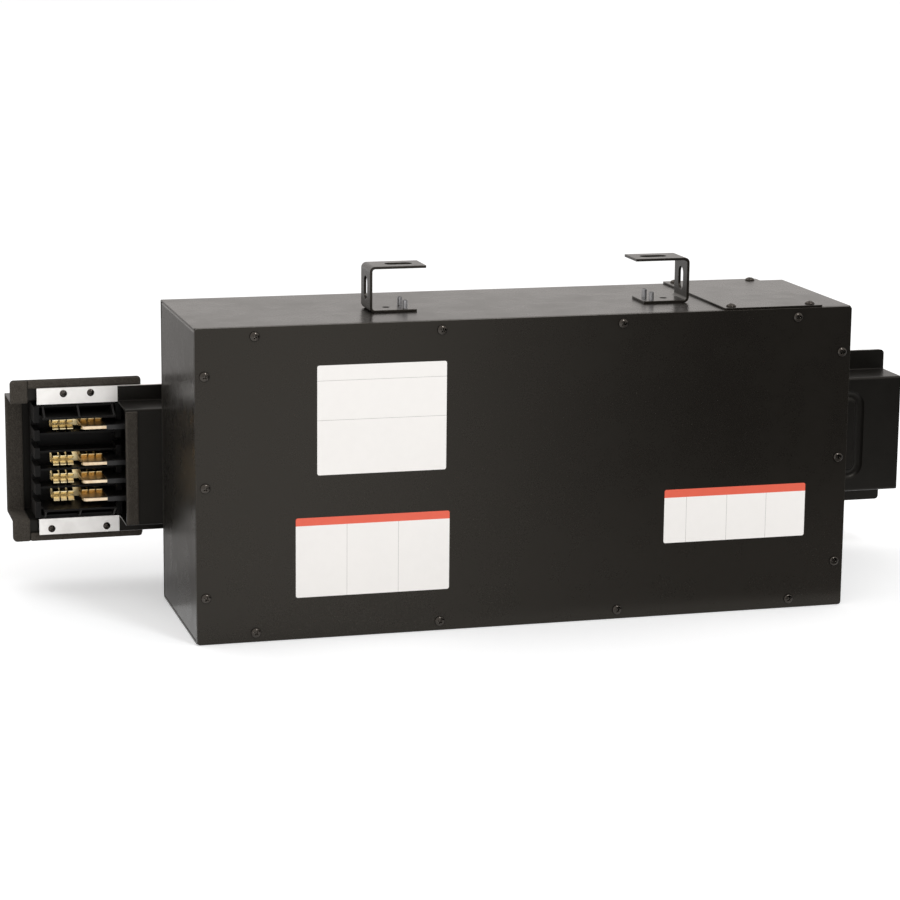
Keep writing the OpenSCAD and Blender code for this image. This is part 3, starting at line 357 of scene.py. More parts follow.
# %% Paint
box_paint = finish(
    "box_paint",
    colour=(0.0096, 0.0085, 0.0072),
    marked=(0.0122, 0.0110, 0.0093),
    # The lighter edge colour is partly worn paint and partly a painted highlight along the bends
    # and the cover's edges.
    edge_wear_and_glint_colour=(0.050, 0.046, 0.040),
    rough=(0.23, 0.34),
    grain_size=0.9 * MM,
    grain_depth=0.010 * MM,
    edge_radius=0.9 * MM,
    edge_wear_and_glint_amount=0.45,
    mark_size=0.16,
    mark_amount=0.4,
    specular=0.34,
    specular_tint=(1.0, 0.93, 0.82),
)
housing_paint = finish(
    "housing_paint",
    colour=(0.0075, 0.0070, 0.0062),
    marked=(0.0100, 0.0094, 0.0084),
    # Here too the lighter edge colour is partly worn paint and partly a painted highlight along
    # the edges.
    edge_wear_and_glint_colour=(0.045, 0.042, 0.038),
    rough=(0.30, 0.40),
    grain_size=0.8 * MM,
    grain_depth=0.008 * MM,
    edge_radius=0.5 * MM,
    edge_wear_and_glint_amount=0.5,
    mark_size=0.12,
    mark_amount=0.4,
    specular=0.20,
    specular_tint=(1.0, 0.96, 0.88),
)

# %% [markdown]
# ## Plated screws and nuts
#
# The cover screws are black-nickel plated: a dark mirror that shows each lamp
# as a small bright spot on the crown. The nuts and the inner screws are bright
# zinc, a paler and softer plating.

# %% Plated screws and nuts
screw_black = finish(
    "screw_black_nickel",
    colour=(0.062, 0.056, 0.050),
    marked=(0.052, 0.047, 0.042),
    # The pale edge colour is partly a painted glint on the rim and recess edges, partly rubbed
    # plating.
    edge_wear_and_glint_colour=(0.24, 0.22, 0.19),
    rough=(0.10, 0.15),
    metallic=1.0,
    grain_size=0.5 * MM,
    grain_depth=0.004 * MM,
    edge_radius=0.35 * MM,
    edge_wear_and_glint_amount=0.7,
    mark_size=0.01,
)
zinc = finish(
    "bright_zinc",
    colour=(0.56, 0.57, 0.60),
    marked=(0.46, 0.47, 0.48),
    edge_wear_and_glint_colour=(0.74, 0.74, 0.76),
    rough=(0.24, 0.40),
    metallic=1.0,
    grain_size=0.5 * MM,
    grain_depth=0.010 * MM,
    edge_radius=0.25 * MM,
    mark_size=0.012,
)

# %% [markdown]
# ## Bare metals
#
# The ground bars and lugs are bare extruded aluminium with drawing lines along
# their length. The power bars and straps are tinned copper worn to a warm tone,
# and the jaws are spring brass.

# %% Bare metals
drawn_aluminium = finish(
    "drawn_aluminium",
    colour=(0.97, 0.955, 0.93),
    marked=(0.92, 0.905, 0.88),
    edge_wear_and_glint_colour=(0.98, 0.97, 0.95),
    rough=(0.34, 0.48),
    metallic=0.85,
    grain_size=0.5 * MM,
    grain_depth=0.006 * MM,
    stretch=(0.02, 1.0, 1.0),
    edge_radius=0.3 * MM,
    mark_size=0.03,
)
bar_copper = finish(
    "bar_copper",
    colour=(0.92, 0.76, 0.54),
    marked=(0.80, 0.59, 0.36),
    edge_wear_and_glint_colour=(0.98, 0.90, 0.76),
    rough=(0.24, 0.38),
    metallic=1.0,
    grain_size=0.5 * MM,
    grain_depth=0.005 * MM,
    stretch=(0.03, 1.0, 1.0),
    edge_radius=0.3 * MM,
    mark_size=0.025,
)
spring_brass = finish(
    "spring_brass",
    colour=(0.93, 0.79, 0.48),
    marked=(0.82, 0.64, 0.33),
    edge_wear_and_glint_colour=(0.98, 0.90, 0.66),
    rough=(0.22, 0.36),
    metallic=1.0,
    grain_size=0.4 * MM,
    grain_depth=0.004 * MM,
    stretch=(1.0, 0.05, 1.0),
    edge_radius=0.15 * MM,
    mark_size=0.012,
)

# %% [markdown]
# ## Moulded parts and sleeves
#
# The joint insulator and the bar supports are glass-filled polyester, moulded
# black with a fine spark-eroded texture. The bars' sleeves are shrink tubing,
# smoother and a little glossier. The terminal board is red-brown laminate with
# its cloth showing through, so its grain is coarse and even.

# %% Plastics
moulded_polyester = finish(
    "moulded_polyester",
    colour=(0.0055, 0.0052, 0.0050),
    marked=(0.0090, 0.0086, 0.0082),
    # The pale edge colour paints a thin highlight line along each moulded edge.
    edge_wear_and_glint_colour=(0.075, 0.072, 0.068),
    rough=(0.30, 0.45),
    grain_size=0.35 * MM,
    grain_depth=0.008 * MM,
    edge_radius=0.25 * MM,
    edge_wear_and_glint_amount=0.8,
    mark_size=0.02,
    specular=0.12,
)
shrink_sleeve = finish(
    "shrink_sleeve",
    colour=(0.014, 0.014, 0.014),
    marked=(0.022, 0.022, 0.022),
    edge_wear_and_glint_colour=(0.05, 0.05, 0.05),
    rough=(0.28, 0.40),
    grain_size=2.5 * MM,
    grain_depth=0.02 * MM,
    edge_radius=0.5 * MM,
    mark_size=0.03,
)
board_laminate = finish(
    "board_laminate",
    colour=(0.36, 0.085, 0.050),
    marked=(0.28, 0.065, 0.040),
    edge_wear_and_glint_colour=(0.46, 0.20, 0.13),
    rough=(0.42, 0.58),
    grain_size=0.6 * MM,
    grain_depth=0.02 * MM,
    stretch=(1.0, 1.0, 0.4),
    edge_radius=0.4 * MM,
    mark_size=0.04,
)

# %% [markdown]
# ## Foam
#
# The gaskets are closed-cell foam: matte, dark grey-brown, its skin full of
# small pits. Voronoi cells give the pits, higher and paler at their borders and
# painted dark towards their middles, a painted shade in each hollow, and a noise
# on top keeps the grey uneven.

# %% Foam material
CELLS_PER_METRE = 900.0
TINTS_PER_METRE = 320.0
PIT_FULL_AT = 0.6
PIT_SHADE_COLOUR = (0.012, 0.0105, 0.008)
BORDER_COLOUR = (0.092, 0.082, 0.070)
TINT_COLOUR = (0.043, 0.038, 0.031)
foam, tree, shader = new_material("gasket_foam")
where = add(tree, "ShaderNodeTexCoord")
cells = add(
    tree, "ShaderNodeTexVoronoi", {"Vector": where.outputs["Object"], "Scale": CELLS_PER_METRE}
)
tint = add(
    tree,
    "ShaderNodeTexNoise",
    {"Vector": where.outputs["Object"], "Scale": TINTS_PER_METRE, "Detail": 4.0},
)
# Each pit is painted darker towards its middle: painted shade in the hollow.
pit_shade_mask = spread(tree, cells.outputs["Distance"], 0.0, PIT_FULL_AT)
pit_shaded = blend_colour(tree, pit_shade_mask, PIT_SHADE_COLOUR, BORDER_COLOUR)
relief = add(
    tree,
    "ShaderNodeBump",
    {"Strength": 0.8, "Distance": 0.35 * MM, "Height": cells.outputs["Distance"]},
)
fill(
    tree,
    shader,
    {
        "Base Color": blend_colour(tree, tint.outputs["Fac"], pit_shaded, TINT_COLOUR),
        "Normal": relief.outputs["Normal"],
        "Roughness": 0.92,
        "Specular IOR Level": 0.2,
    },
)

# %% [markdown]
# ## Give every CAD node its finish
#
# The frame brings each node in as an object of its own. Its material slot takes
# one of the finishes above; the shape isn't touched.

# %% Assign the finishes
FINISH_OF = {
    "box_paint": box_paint,
    "housing_paint": housing_paint,
    "dark_screws": screw_black,
    "zinc": zinc,
    "aluminium": drawn_aluminium,
    "copper": bar_copper,
    "spring_brass": spring_brass,
    "sleeve": shrink_sleeve,
    "moulding": moulded_polyester,
    "laminate": board_laminate,
    "foam": foam,
}
for subpart in frame["record"]["subparts"]:
    node_object = frame["nodes"][subpart["node"]]
    node_object.data.materials.clear()
    node_object.data.materials.append(FINISH_OF[subpart["material_slot"]])

# %% [markdown]
# ## Helpers for pieces
#
# Every new piece is built in bmesh, turned into an object and fastened to the
# body that its CAD node rides on. A moving cover then takes its screws and its
# foam along.

# %% Piece helpers
WELD = 0.001 * MM


def linked(name, mesh):
    """A bmesh as an object of the scene."""
    data = bpy.data.meshes.new(name)
    mesh.to_mesh(data)
    mesh.free()
    made = bpy.data.objects.new(name, data)
    bpy.context.scene.collection.objects.link(made)
    return made


def smooth_shaded(data):
    """Shades every face of a mesh smooth."""
    for polygon in data.polygons:
        polygon.use_smooth = True


def around(x, y, reach, angle, z):
    """A point at this reach and angle round an upright axis."""
    return (x + reach * math.cos(angle), y + reach * math.sin(angle), z)


def body_of(node):
    """The body that a CAD node belongs to."""
    for body, nodes in frame["record"]["behaviour"]["bodies"].items():
        if node in nodes:
            return body


def solids_in(node):
    """The lowest and highest corner of each separate solid of a CAD node."""
    mesh = bmesh.new()
    mesh.from_mesh(frame["nodes"][node].data)
    bmesh.ops.remove_doubles(mesh, verts=mesh.verts, dist=WELD)
    waiting = set(mesh.verts)
    solids = []
    while waiting:
        solid = [waiting.pop()]
        for vertex in solid:
            for edge in vertex.link_edges:
                other = edge.other_vert(vertex)
                if other in waiting:
                    waiting.remove(other)
                    solid.append(other)
        low = Vector([min(vertex.co[i] for vertex in solid) for i in range(3)])
        high = Vector([max(vertex.co[i] for vertex in solid) for i in range(3)])
        solids.append((low, high))
    mesh.free()
    return sorted(solids, key=lambda corners: tuple(corners[0]))


# %% [markdown]
# ## Foam gaskets
#
# A foam strip cut with a knife has soft corners, a slightly uneven face and
# sits a little squeezed. A copy of each CAD solid is remeshed into small even
# faces, which rounds its corners, and every point is then pushed inwards by a
# smooth noise, so the strip never leaves the space that the solid holds.

# %% Foam pieces
FOAM_VOXEL = 1.1 * MM
FOAM_SQUEEZE = 0.35 * MM
SMOOTHINGS = 3
BROAD_WAVE = 9 * MM
FINE_WAVE = 3.5 * MM
FINE_SHARE = 0.5
WAVE_CENTRE = 0.5
WAVE_REACH = 0.33


def foam_piece(name, node):
    """A finer foam piece that stands for a CAD gasket."""
    piece = bpy.data.objects.new(name, frame["nodes"][node].data.copy())
    bpy.context.scene.collection.objects.link(piece)
    remesh = piece.modifiers.new("even_faces", "REMESH")
    remesh.mode = "VOXEL"
    remesh.voxel_size = FOAM_VOXEL
    smooth = piece.modifiers.new("soft_corners", "SMOOTH")
    smooth.iterations = SMOOTHINGS
    graph = bpy.context.evaluated_depsgraph_get()
    mesh = bpy.data.meshes.new_from_object(piece.evaluated_get(graph))
    piece.modifiers.clear()
    piece.data = mesh
    mesh.name = name
    pushed = []
    for vertex in mesh.vertices:
        wave = noise.noise(vertex.co / BROAD_WAVE)
        wave += FINE_SHARE * noise.noise(vertex.co / FINE_WAVE)
        push = FOAM_SQUEEZE * (WAVE_CENTRE + WAVE_REACH * wave)
        pushed.append(vertex.co - vertex.normal * push)
    for vertex, pushed_to in zip(mesh.vertices, pushed):
        vertex.co = pushed_to
    smooth_shaded(mesh)
    mesh.materials.clear()
    mesh.materials.append(foam)
    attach(piece, body_of(node))
    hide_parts(node)
    print(name, len(mesh.vertices), "points")


for node in sorted(frame["nodes"]):
    if node.startswith("gasket_"):
        foam_piece(node.replace("gasket_", "foam_"), node)

# %% [markdown]
# ## Labels
#
# Three printed film labels sit on the front cover. Their places are kept and
# their print isn't: each is a white polyester plate with rounded corners, ruled
# into empty columns, two of them with a plain coloured band along the top. The
# inks share one film, so only their colours and the rules' sheen differ.

# %% Label inks
FILM = {
    "grain_size": 1.5 * MM,
    "grain_depth": 0.004 * MM,
    "edge_radius": 0.1 * MM,
    "mark_size": 0.05,
    "mark_amount": 0.4,
}
label_white = finish(
    "label_white",
    colour=(0.90, 0.89, 0.87),
    marked=(0.87, 0.86, 0.84),
    edge_wear_and_glint_colour=(0.90, 0.89, 0.87),
    rough=(0.34, 0.44),
    edge_wear_and_glint_amount=0.3,
    **FILM,
)
label_band = finish(
    "label_band",
    colour=(0.80, 0.125, 0.070),
    marked=(0.74, 0.110, 0.062),
    edge_wear_and_glint_colour=(0.86, 0.30, 0.22),
    rough=(0.34, 0.44),
    edge_wear_and_glint_amount=0.2,
    **FILM,
)
label_rule = finish(
    "label_rule",
    colour=(0.42, 0.41, 0.40),
    marked=(0.38, 0.37, 0.36),
    edge_wear_and_glint_colour=(0.46, 0.45, 0.44),
    rough=(0.36, 0.46),
    edge_wear_and_glint_amount=0.1,
    **FILM,
)

# %% [markdown]
# ## Cutting a label into cells
#
# A label could be one rectangle with its print in the shader. Here the sheet is
# cut along both sides of every rule and along the band, so that rules and band
# are faces of their own with their own ink and stay crisp from any distance.
# The corner cells are left out, and a small fan of faces rounds each corner.

# %% Cells and corners of a label
PLAIN_INK, BAND_INK, RULE_INK = range(3)
RULE_WIDTH = 0.35 * MM
LABEL_CORNER = 2.0 * MM
CORNER_FACES = 6
DIGITS = 7


def cuts(length, inks, band_line=()):
    """The places at which a label is cut along one of its sides."""
    places = [0.0, length, LABEL_CORNER, length - LABEL_CORNER, *band_line]
    for ink in inks:
        places += [ink - RULE_WIDTH / 2, ink + RULE_WIDTH / 2]
    return sorted(set(round(cut, DIGITS) for cut in places))


def label_cells(mesh, point, width, height, top, inks_x, inks_z):
    """The flat cells of a label, each with its ink; its corners stay open."""
    cuts_x = cuts(width, inks_x)
    cuts_z = cuts(height, inks_z, [top] if top < height else [])
    for left, right in zip(cuts_x, cuts_x[1:]):
        for low, high in zip(cuts_z, cuts_z[1:]):
            mid_x = (left + right) / 2
            mid_z = (low + high) / 2
            at_side = not LABEL_CORNER < mid_x < width - LABEL_CORNER
            at_end = not LABEL_CORNER < mid_z < height - LABEL_CORNER
            if at_side and at_end:
                continue
            corners = ((left, low), (right, low), (right, high), (left, high))
            face = mesh.faces.new([point(*corner) for corner in corners])
            gaps = [abs(mid_x - ink) for ink in inks_x] + [abs(mid_z - ink) for ink in inks_z]
            if mid_z > top:
                face.material_index = BAND_INK
            elif gaps and min(gaps) < RULE_WIDTH / 2:
                face.material_index = RULE_INK


def label_corners(mesh, point, width, height, top_ink):
    """A fan of thin faces that rounds each corner of a label."""
    far_x = width - LABEL_CORNER
    far_z = height - LABEL_CORNER
    fans = (
        (180, LABEL_CORNER, LABEL_CORNER, PLAIN_INK),
        (270, far_x, LABEL_CORNER, PLAIN_INK),
        (0, far_x, far_z, top_ink),
        (90, LABEL_CORNER, far_z, top_ink),
    )
    for start, u, w, ink in fans:
        rim = []
        for step in range(CORNER_FACES + 1):
            angle = math.radians(start + 90 / CORNER_FACES * step)
            reach_u = LABEL_CORNER * math.cos(angle)
            reach_w = LABEL_CORNER * math.sin(angle)
            rim.append(point(u + reach_u, w + reach_w))
        for here, after in zip(rim, rim[1:]):
            face = mesh.faces.new([point(u, w), here, after])
            face.material_index = ink


# %% [markdown]
# ## A label plate
#
# A film label is thin but not flat: its cut edge shows as a fine pale line. The
# face is drawn first, then extruded back on to the cover.

# %% A label plate
LABEL_THICK = 0.3 * MM


def label_plate(name, x, z, width, height, columns, rows, band):
    """A film label on the front cover; x and z are its lower left corner, and columns, rows and
    band are the shares of its width and height for the rules and the coloured band."""
    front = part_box("front_cover")[0][1]
    top = height * (1 - band)
    mesh = bmesh.new()
    points = {}

    def point(u, w):
        key = (round(u, DIGITS), round(w, DIGITS))
        if key not in points:
            points[key] = mesh.verts.new((x + u, front - LABEL_THICK, z + w))
        return points[key]

    inks_x = [share * width for share in columns]
    inks_z = [share * top for share in rows]
    label_cells(mesh, point, width, height, top, inks_x, inks_z)
    label_corners(mesh, point, width, height, BAND_INK if band else PLAIN_INK)
    bmesh.ops.recalc_face_normals(mesh, faces=mesh.faces)
    for face in mesh.faces:
        if face.normal.y > 0:
            face.normal_flip()
    made = bmesh.ops.extrude_face_region(mesh, geom=mesh.faces[:])
    back = [v for v in made["geom"] if isinstance(v, bmesh.types.BMVert)]
    bmesh.ops.translate(mesh, verts=back, vec=(0, LABEL_THICK, 0))
    bmesh.ops.recalc_face_normals(mesh, faces=mesh.faces)
    plate = linked(name, mesh)
    for ink in (label_white, label_band, label_rule):
        plate.data.materials.append(ink)
    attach(plate, "front_cover")
    print(name, len(plate.data.polygons), "faces")


# %% The three labels
left_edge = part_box("front_cover")[0][0]
label_plate(
    "label_upper",
    x=left_edge + 117 * MM,
    z=160 * MM,
    width=127 * MM,
    height=106 * MM,
    columns=[],
    rows=[0.50, 0.86],
    band=0.0,
)
label_plate(
    "label_lower_left",
    x=left_edge + 96 * MM,
    z=41 * MM,
    width=152 * MM,
    height=78 * MM,
    columns=[0.33, 0.665],
    rows=[],
    band=0.10,
)
label_plate(
    "label_lower_right",
    x=left_edge + 468 * MM,
    z=74 * MM,
    width=149 * MM,
    height=54 * MM,
    columns=[0.155, 0.44, 0.72],
    rows=[],
    band=0.15,
)

# %% [markdown]
# ## Cut threads
#
# The four hanger screws stand out of the hangers' feet with their threads in
# view. A thread is one V-shaped groove wound round a rod, so each ring of
# points climbs by a full pitch in a turn and joins the next. Bump shading would
# leave the outline straight; real ridges catch the light on both flanks.

# %% A thread
RIDGE = ((0.0, 0.0), (0.12, 0.0), (0.5, 1.0), (0.88, 0.0))
TAPER_PITCHES = 0.8


def thread(mesh, x, y, low, high, radius, pitch, depth, sides=28):
    """Adds a thread along Z from low to high, closed at its top by a small chamfered end."""
    count = int((high - low) / pitch) * sides
    rows = []
    for step in range(count + 1):
        angle = 2 * math.pi * step / sides
        rise = pitch * step / sides
        row = []
        for along, out_by in RIDGE:
            height = min(low + rise + along * pitch, high)
            taper = min(1.0, max(0.0, (high - height) / (TAPER_PITCHES * pitch)))
            reach = radius - depth + depth * out_by * taper
            row.append(mesh.verts.new(around(x, y, reach, angle, height)))
        rows.append(row)
    for here, after in zip(rows, rows[1:]):
        for a in range(len(RIDGE) - 1):
            mesh.faces.new([here[a], after[a], after[a + 1], here[a + 1]])
    for step in range(count - sides):
        turn_later = step + sides
        mesh.faces.new([
            rows[step][-1],
            rows[step + 1][-1],
            rows[turn_later + 1][0],
            rows[turn_later][0],
        ])
    angles = [2 * math.pi * side / sides for side in range(sides)]
    mesh.faces.new([mesh.verts.new(around(x, y, radius - depth, a, high)) for a in angles])


# %% Hanger screws
THREAD_PITCH = 0.8 * MM
THREAD_RADIUS = 2.62 * MM
THREAD_DEPTH = 0.42 * MM
HANGER_SHEET = 2.5 * MM
foot_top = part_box("hanger_left")[0][2] + HANGER_SHEET
hanger_screws = solids_in("hanger_screws")
print("threaded ends:", len(hanger_screws))
mesh = bmesh.new()
for low, high in hanger_screws:
    centre = (low + high) / 2
    thread(mesh, centre.x, centre.y, foot_top, high.z, THREAD_RADIUS, THREAD_PITCH, THREAD_DEPTH)
bmesh.ops.remove_doubles(mesh, verts=mesh.verts, dist=WELD)
threads = linked("hanger_screw_threads", mesh)
threads.data.materials.append(zinc)
smooth_shaded(threads.data)
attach(threads, "box")

# %% [markdown]
# ## Pan-head screws
#
# A pan head is forged in one blow: the crown is a smooth dome and the cross
# recess is punched into it with tapered wings. Here the crown is a profile
# turned round its axis, the recess is cut by two tapered wings in a boolean,
# and the shank is cut with the same thread as the hanger screws.

# %% The crown
SEAT_CHAMFER = 0.15 * MM
RIM_SHARE = 0.12


def crown(radius, height, sides=36, rings=10):
    """A pan head turned round Z, its seat at z = 0."""
    rim = RIM_SHARE * height
    profile = [(radius - SEAT_CHAMFER, 0.0), (radius, SEAT_CHAMFER)]
    for step in range(rings):
        angle = math.pi / 2 * step / rings
        profile.append((radius * math.cos(angle), rim + (height - rim) * math.sin(angle)))
    mesh = bmesh.new()
    angles = [2 * math.pi * side / sides for side in range(sides)]
    turned = []
    for reach, z in profile:
        turned.append([mesh.verts.new(around(0.0, 0.0, reach, a, z)) for a in angles])
    for here, after in zip(turned, turned[1:]):
        for side in range(sides):
            after_side = (side + 1) % sides
            mesh.faces.new([here[side], here[after_side], after[after_side], after[side]])
    mesh.faces.new(reversed(turned[0]))
    top = mesh.verts.new((0, 0, height))
    for side in range(sides):
        mesh.faces.new([turned[-1][side], turned[-1][(side + 1) % sides], top])
    return mesh


# %% One pan-head screw
# Each pair is for the upper and the lower end of a wing, in head radii or heights.
WING_LENGTH = (0.66, 0.22)
WING_WIDTH = (0.15, 0.09)
WING_LEVEL = (1.3, 0.25)
THREAD_SHARE = 0.13


def recess_wing(turn, radius, height):
    """One tapered wing of the cross recess, as an object to cut with."""
    mesh = bmesh.new()
    bmesh.ops.create_cube(mesh, size=2.0)
    for vertex in mesh.verts:
        end = 0 if vertex.co.z > 0 else 1
        vertex.co.x *= WING_LENGTH[end] * radius
        vertex.co.y *= WING_WIDTH[end] * radius
        vertex.co.z = WING_LEVEL[end] * height
    bmesh.ops.rotate(mesh, verts=mesh.verts, matrix=Matrix.Rotation(turn, 3, "Z"))
    return linked("recess_wing", mesh)


def screw(radius, height, shank, length, pitch):
    """A whole screw along Z, its head's seat at z = 0 and its shank below, as mesh data."""
    head = linked("screw_head", crown(radius, height))
    wings = [recess_wing(turn, radius, height) for turn in (0.0, math.pi / 2)]
    for wing in wings:
        cut = head.modifiers.new("cross_recess", "BOOLEAN")
        cut.object = wing
        cut.operation = "DIFFERENCE"
        cut.solver = "EXACT"
    graph = bpy.context.evaluated_depsgraph_get()
    data = bpy.data.meshes.new_from_object(head.evaluated_get(graph))
    for spare in [head] + wings:
        bpy.data.objects.remove(spare)
    rod = bmesh.new()
    thread(rod, 0.0, 0.0, 0.0, length, shank, pitch, THREAD_SHARE * shank, sides=16)
    bmesh.ops.rotate(rod, verts=rod.verts, matrix=Matrix.Rotation(math.pi, 3, "X"))
    rod.from_mesh(data)
    bmesh.ops.remove_doubles(rod, verts=rod.verts, dist=WELD)
    rod.to_mesh(data)
    rod.free()
    return data


# %% [markdown]
# ## Dark screws in their places
#
# One screw is made for each CAD node and copied to every place where that node
# has a solid, so places, lengths and diameters stay the CAD model's. No two
# screws stop at the same angle when they are driven home, so each copy is
# turned a little.

# %% Dark screws
ALONG_Y, ALONG_Z = 1, 2
STOP_MIDDLE = 45
STOP_SPREAD = 18
STOP_WAVE_X = 7 * MM
STOP_WAVE_Z = 5 * MM
CROWN_SHARP = 32
M5 = {"head_height": 3.0 * MM, "shank": 2.5 * MM, "pitch": 0.8 * MM}
M4 = {"head_height": 2.6 * MM, "shank": 2.0 * MM, "pitch": 0.7 * MM}


def dark_screws(node, axis, head_height, shank, pitch):
    """Finer screws that stand for a CAD node's, with their heads at -Y or at +Z."""
    places = solids_in(node)
    low, high = places[0]
    length = high[axis] - low[axis] - head_height
    one = screw((high.x - low.x) / 2, head_height, shank, length, pitch)
    whole = bmesh.new()
    for low, high in places:
        seat = (low + high) / 2
        if axis == ALONG_Y:
            seat.y = low.y + head_height
            turned = Matrix.Rotation(math.pi / 2, 4, "X")
        else:
            seat.z = high.z - head_height
            turned = Matrix.Identity(4)
        wave = math.sin(seat.x / STOP_WAVE_X + seat.z / STOP_WAVE_Z)
        spin = Matrix.Rotation(math.radians(STOP_MIDDLE + STOP_SPREAD * wave), 4, "Z")
        copy = one.copy()
        copy.transform(Matrix.Translation(seat) @ turned @ spin)
        whole.from_mesh(copy)
        bpy.data.meshes.remove(copy)
    piece = linked(node.replace("screws", "pan_screws"), whole)
    smooth_shaded(piece.data)
    piece.data.set_sharp_from_angle(angle=math.radians(CROWN_SHARP))
    piece.data.materials.clear()
    piece.data.materials.append(screw_black)
    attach(piece, body_of(node))
    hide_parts(node)
    print(piece.name, len(places), "screws,", len(piece.data.polygons), "faces")


dark_screws("cover_screws", ALONG_Y, **M5)
dark_screws("entry_screws", ALONG_Z, **M5)
dark_screws("rear_cover_screws", ALONG_Y, **M4)
dark_screws("joint_cover_screws", ALONG_Y, **M4)

# %% [markdown]
# ## Floor and background
#
# A studio shot on white: a pale floor that keeps a soft shadow, and a background
# that the camera and the reflections see as white. The world lights the object
# at a plain level of its own.

# %% Floor
FLOOR_HALF = 12.0
FLOOR_DROP = 0.5 * MM
FLOOR_LIFT = 0.30
FLOOR_COLOUR = (0.84, 0.868, 0.89, 1.0)
WHITE = (1.0, 1.0, 1.0)


def seen_directly(tree, rays):
    """1 for a ray from the camera or from a mirror-like or clear surface, and 0 otherwise."""
    direct = maths(tree, "MAXIMUM", rays.outputs["Is Camera Ray"], rays.outputs["Is Glossy Ray"])
    return maths(tree, "MAXIMUM", direct, rays.outputs["Is Transmission Ray"])


mesh = bmesh.new()
bmesh.ops.create_grid(mesh, x_segments=8, y_segments=8, size=FLOOR_HALF)
floor = linked("floor", mesh)
floor.location.z = cad_box[0][2] - FLOOR_DROP
floor_material, tree, shader = new_material("pale_floor")
rays = add(tree, "ShaderNodeLightPath")
fill(
    tree,
    shader,
    {
        "Base Color": FLOOR_COLOUR,
        "Roughness": 0.9,
        "Specular IOR Level": 0.1,
        "Emission Color": (*WHITE, 1.0),
        "Emission Strength": maths(tree, "MULTIPLY", seen_directly(tree, rays), FLOOR_LIFT),
    },
)
floor.data.materials.append(floor_material)

# %% World
WORLD_LIGHT = 0.865
ROOM_TINT = (1.0, 0.957, 0.928)
world = bpy.data.worlds.new("studio")
bpy.context.scene.world = world
world.use_nodes = True
tree = world.node_tree
rays = add(tree, "ShaderNodeLightPath")
fill(
    tree,
    tree.nodes["Background"],
    {
        "Color": blend_colour(tree, rays.outputs["Is Camera Ray"], ROOM_TINT, WHITE),
        "Strength": spread(tree, seen_directly(tree, rays), 0.0, 1.0, WORLD_LIGHT, 1.0),
    },
)

# %% [markdown]
# ## Lamps
#
# A broad lamp overhead towards the back left gives the top and the left side
# their sheen. A small one high in front lifts the front cover a little, and its
# mirror image is the bright spot on each screw head.


# %% Lamps
def soft_lamp(name, at, towards, size, watts):
    """A rectangular area lamp that faces a point."""
    data = bpy.data.lights.new(name, "AREA")
    data.shape = "RECTANGLE"
    data.size, data.size_y = size
    data.energy = watts
    lamp = bpy.data.objects.new(name, data)
    lamp.location = at
    lamp.rotation_euler = (towards - Vector(at)).to_track_quat("-Z", "Y").to_euler()
    bpy.context.scene.collection.objects.link(lamp)


middle = (Vector(cad_box[0]) + Vector(cad_box[1])) / 2
soft_lamp("overhead", at=(-0.9, 0.9, 2.4), towards=middle, size=(1.8, 1.4), watts=9.0)
soft_lamp("front_high", at=(0.5, -1.7, 1.9), towards=middle, size=(0.42, 0.42), watts=14.0)

# %% [markdown]
# ## Flags
#
# A black box shows mostly what it reflects. Flags, sheets of cloth that a studio
# hangs beside the set, stand in for the dark parts of the room: a black one
# stands in front on the right, which the front cover fades into, and two grey
# ones lie on the floor, in front of the box and behind it on the left. Each
# sheet thins out along X, so that no reflection ends in a hard line. They show
# in reflections alone: they cast no shadow and the camera looks past them.

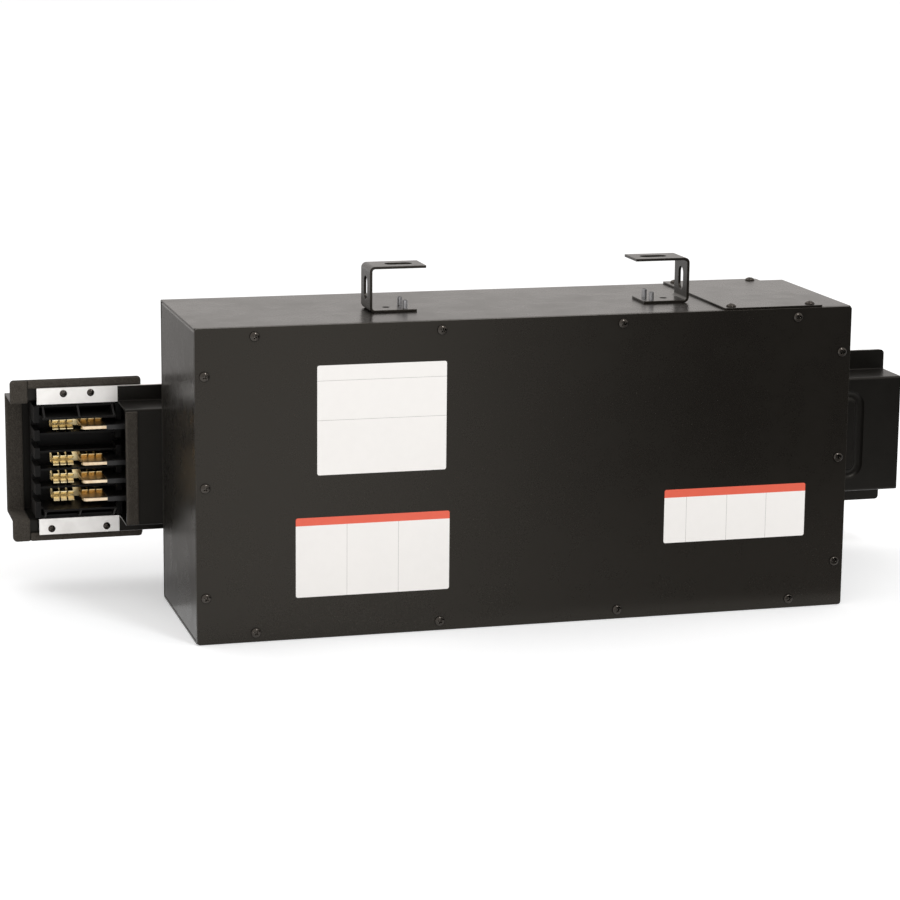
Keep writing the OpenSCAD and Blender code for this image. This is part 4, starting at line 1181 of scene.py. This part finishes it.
# %% A flag
def flag(name, span, near, far, grey, clear_at, full_at):
    """A sheet of cloth that only reflections see. It spans two places along X and runs from near
    to far, each a (y, z); it is clear at one X and full at another."""
    left, right = span
    corners = [(left, *near), (left, *far), (right, *far), (right, *near)]
    mesh = bmesh.new()
    mesh.faces.new([mesh.verts.new(corner) for corner in corners])
    sheet = linked(name, mesh)
    cloth, tree, shader = new_material(name)
    where = add(tree, "ShaderNodeTexCoord")
    along = add(tree, "ShaderNodeSeparateXYZ", {"Vector": where.outputs["Object"]})
    cover = spread(
        tree, along.outputs["X"], clear_at, full_at, interpolation_type="SMOOTHSTEP"
    )
    fill(
        tree,
        shader,
        {
            "Base Color": (grey, grey, grey, 1.0),
            "Roughness": 1.0,
            "Specular IOR Level": 0.0,
            "Alpha": cover,
        },
    )
    sheet.data.materials.append(cloth)
    sheet.visible_camera = False
    sheet.visible_diffuse = False
    sheet.visible_shadow = False
    print(name, "grey", grey)


# %% The three flags
FLAG_RIGHT = 2.2
STANDING_OFF = 0.4
STANDING_HEIGHT = 0.44
ground = floor.location.z + 2 * MM
front = cad_box[0][1]
box_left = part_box("end_plate_left")[0][0]
flag(
    "standing_flag",
    span=(-0.16, FLAG_RIGHT),
    near=(front - STANDING_OFF, ground),
    far=(front - STANDING_OFF, STANDING_HEIGHT),
    grey=0.03,
    clear_at=-0.16,
    full_at=0.38,
)
flag(
    "front_floor_flag",
    span=(-0.24, FLAG_RIGHT),
    near=(front - 0.03, ground),
    far=(front - 0.39, ground),
    grey=0.40,
    clear_at=-0.24,
    full_at=0.30,
)
flag(
    "rear_floor_flag",
    span=(-1.8, box_left + 0.06),
    near=(0.05, ground),
    far=(2.4, ground),
    grey=0.44,
    clear_at=box_left + 0.06,
    full_at=box_left - 0.06,
)

# %% [markdown]
# ## Camera
#
# The view is from the front left and a little above, with a long lens. The
# camera's heading, tilt and roll are turned into its three axes directly, which
# leaves no doubt about the order of rotations.

# %% Camera
HEADING = math.radians(15.56)
TILT = math.radians(11.88)
ROLL = math.radians(0.56)
CAMERA_AT = Vector((-0.7911, -2.6389, 0.7346))
LENS = 112.3
SENSOR = 36.0
ahead = Vector((
    math.sin(HEADING) * math.cos(TILT),
    math.cos(HEADING) * math.cos(TILT),
    -math.sin(TILT),
))
level = Vector((math.cos(HEADING), -math.sin(HEADING), 0.0))
upright = level.cross(ahead)
right = level * math.cos(ROLL) + upright * math.sin(ROLL)
up = upright * math.cos(ROLL) - level * math.sin(ROLL)
camera_data = bpy.data.cameras.new("camera")
camera_data.sensor_width = SENSOR
camera_data.lens = LENS
camera = bpy.data.objects.new("camera", camera_data)
axes = Matrix((right, up, -ahead)).transposed().to_4x4()
camera.matrix_world = Matrix.Translation(CAMERA_AT) @ axes
bpy.context.scene.collection.objects.link(camera)
bpy.context.scene.camera = camera
bpy.context.scene.view_settings.view_transform = "Standard"
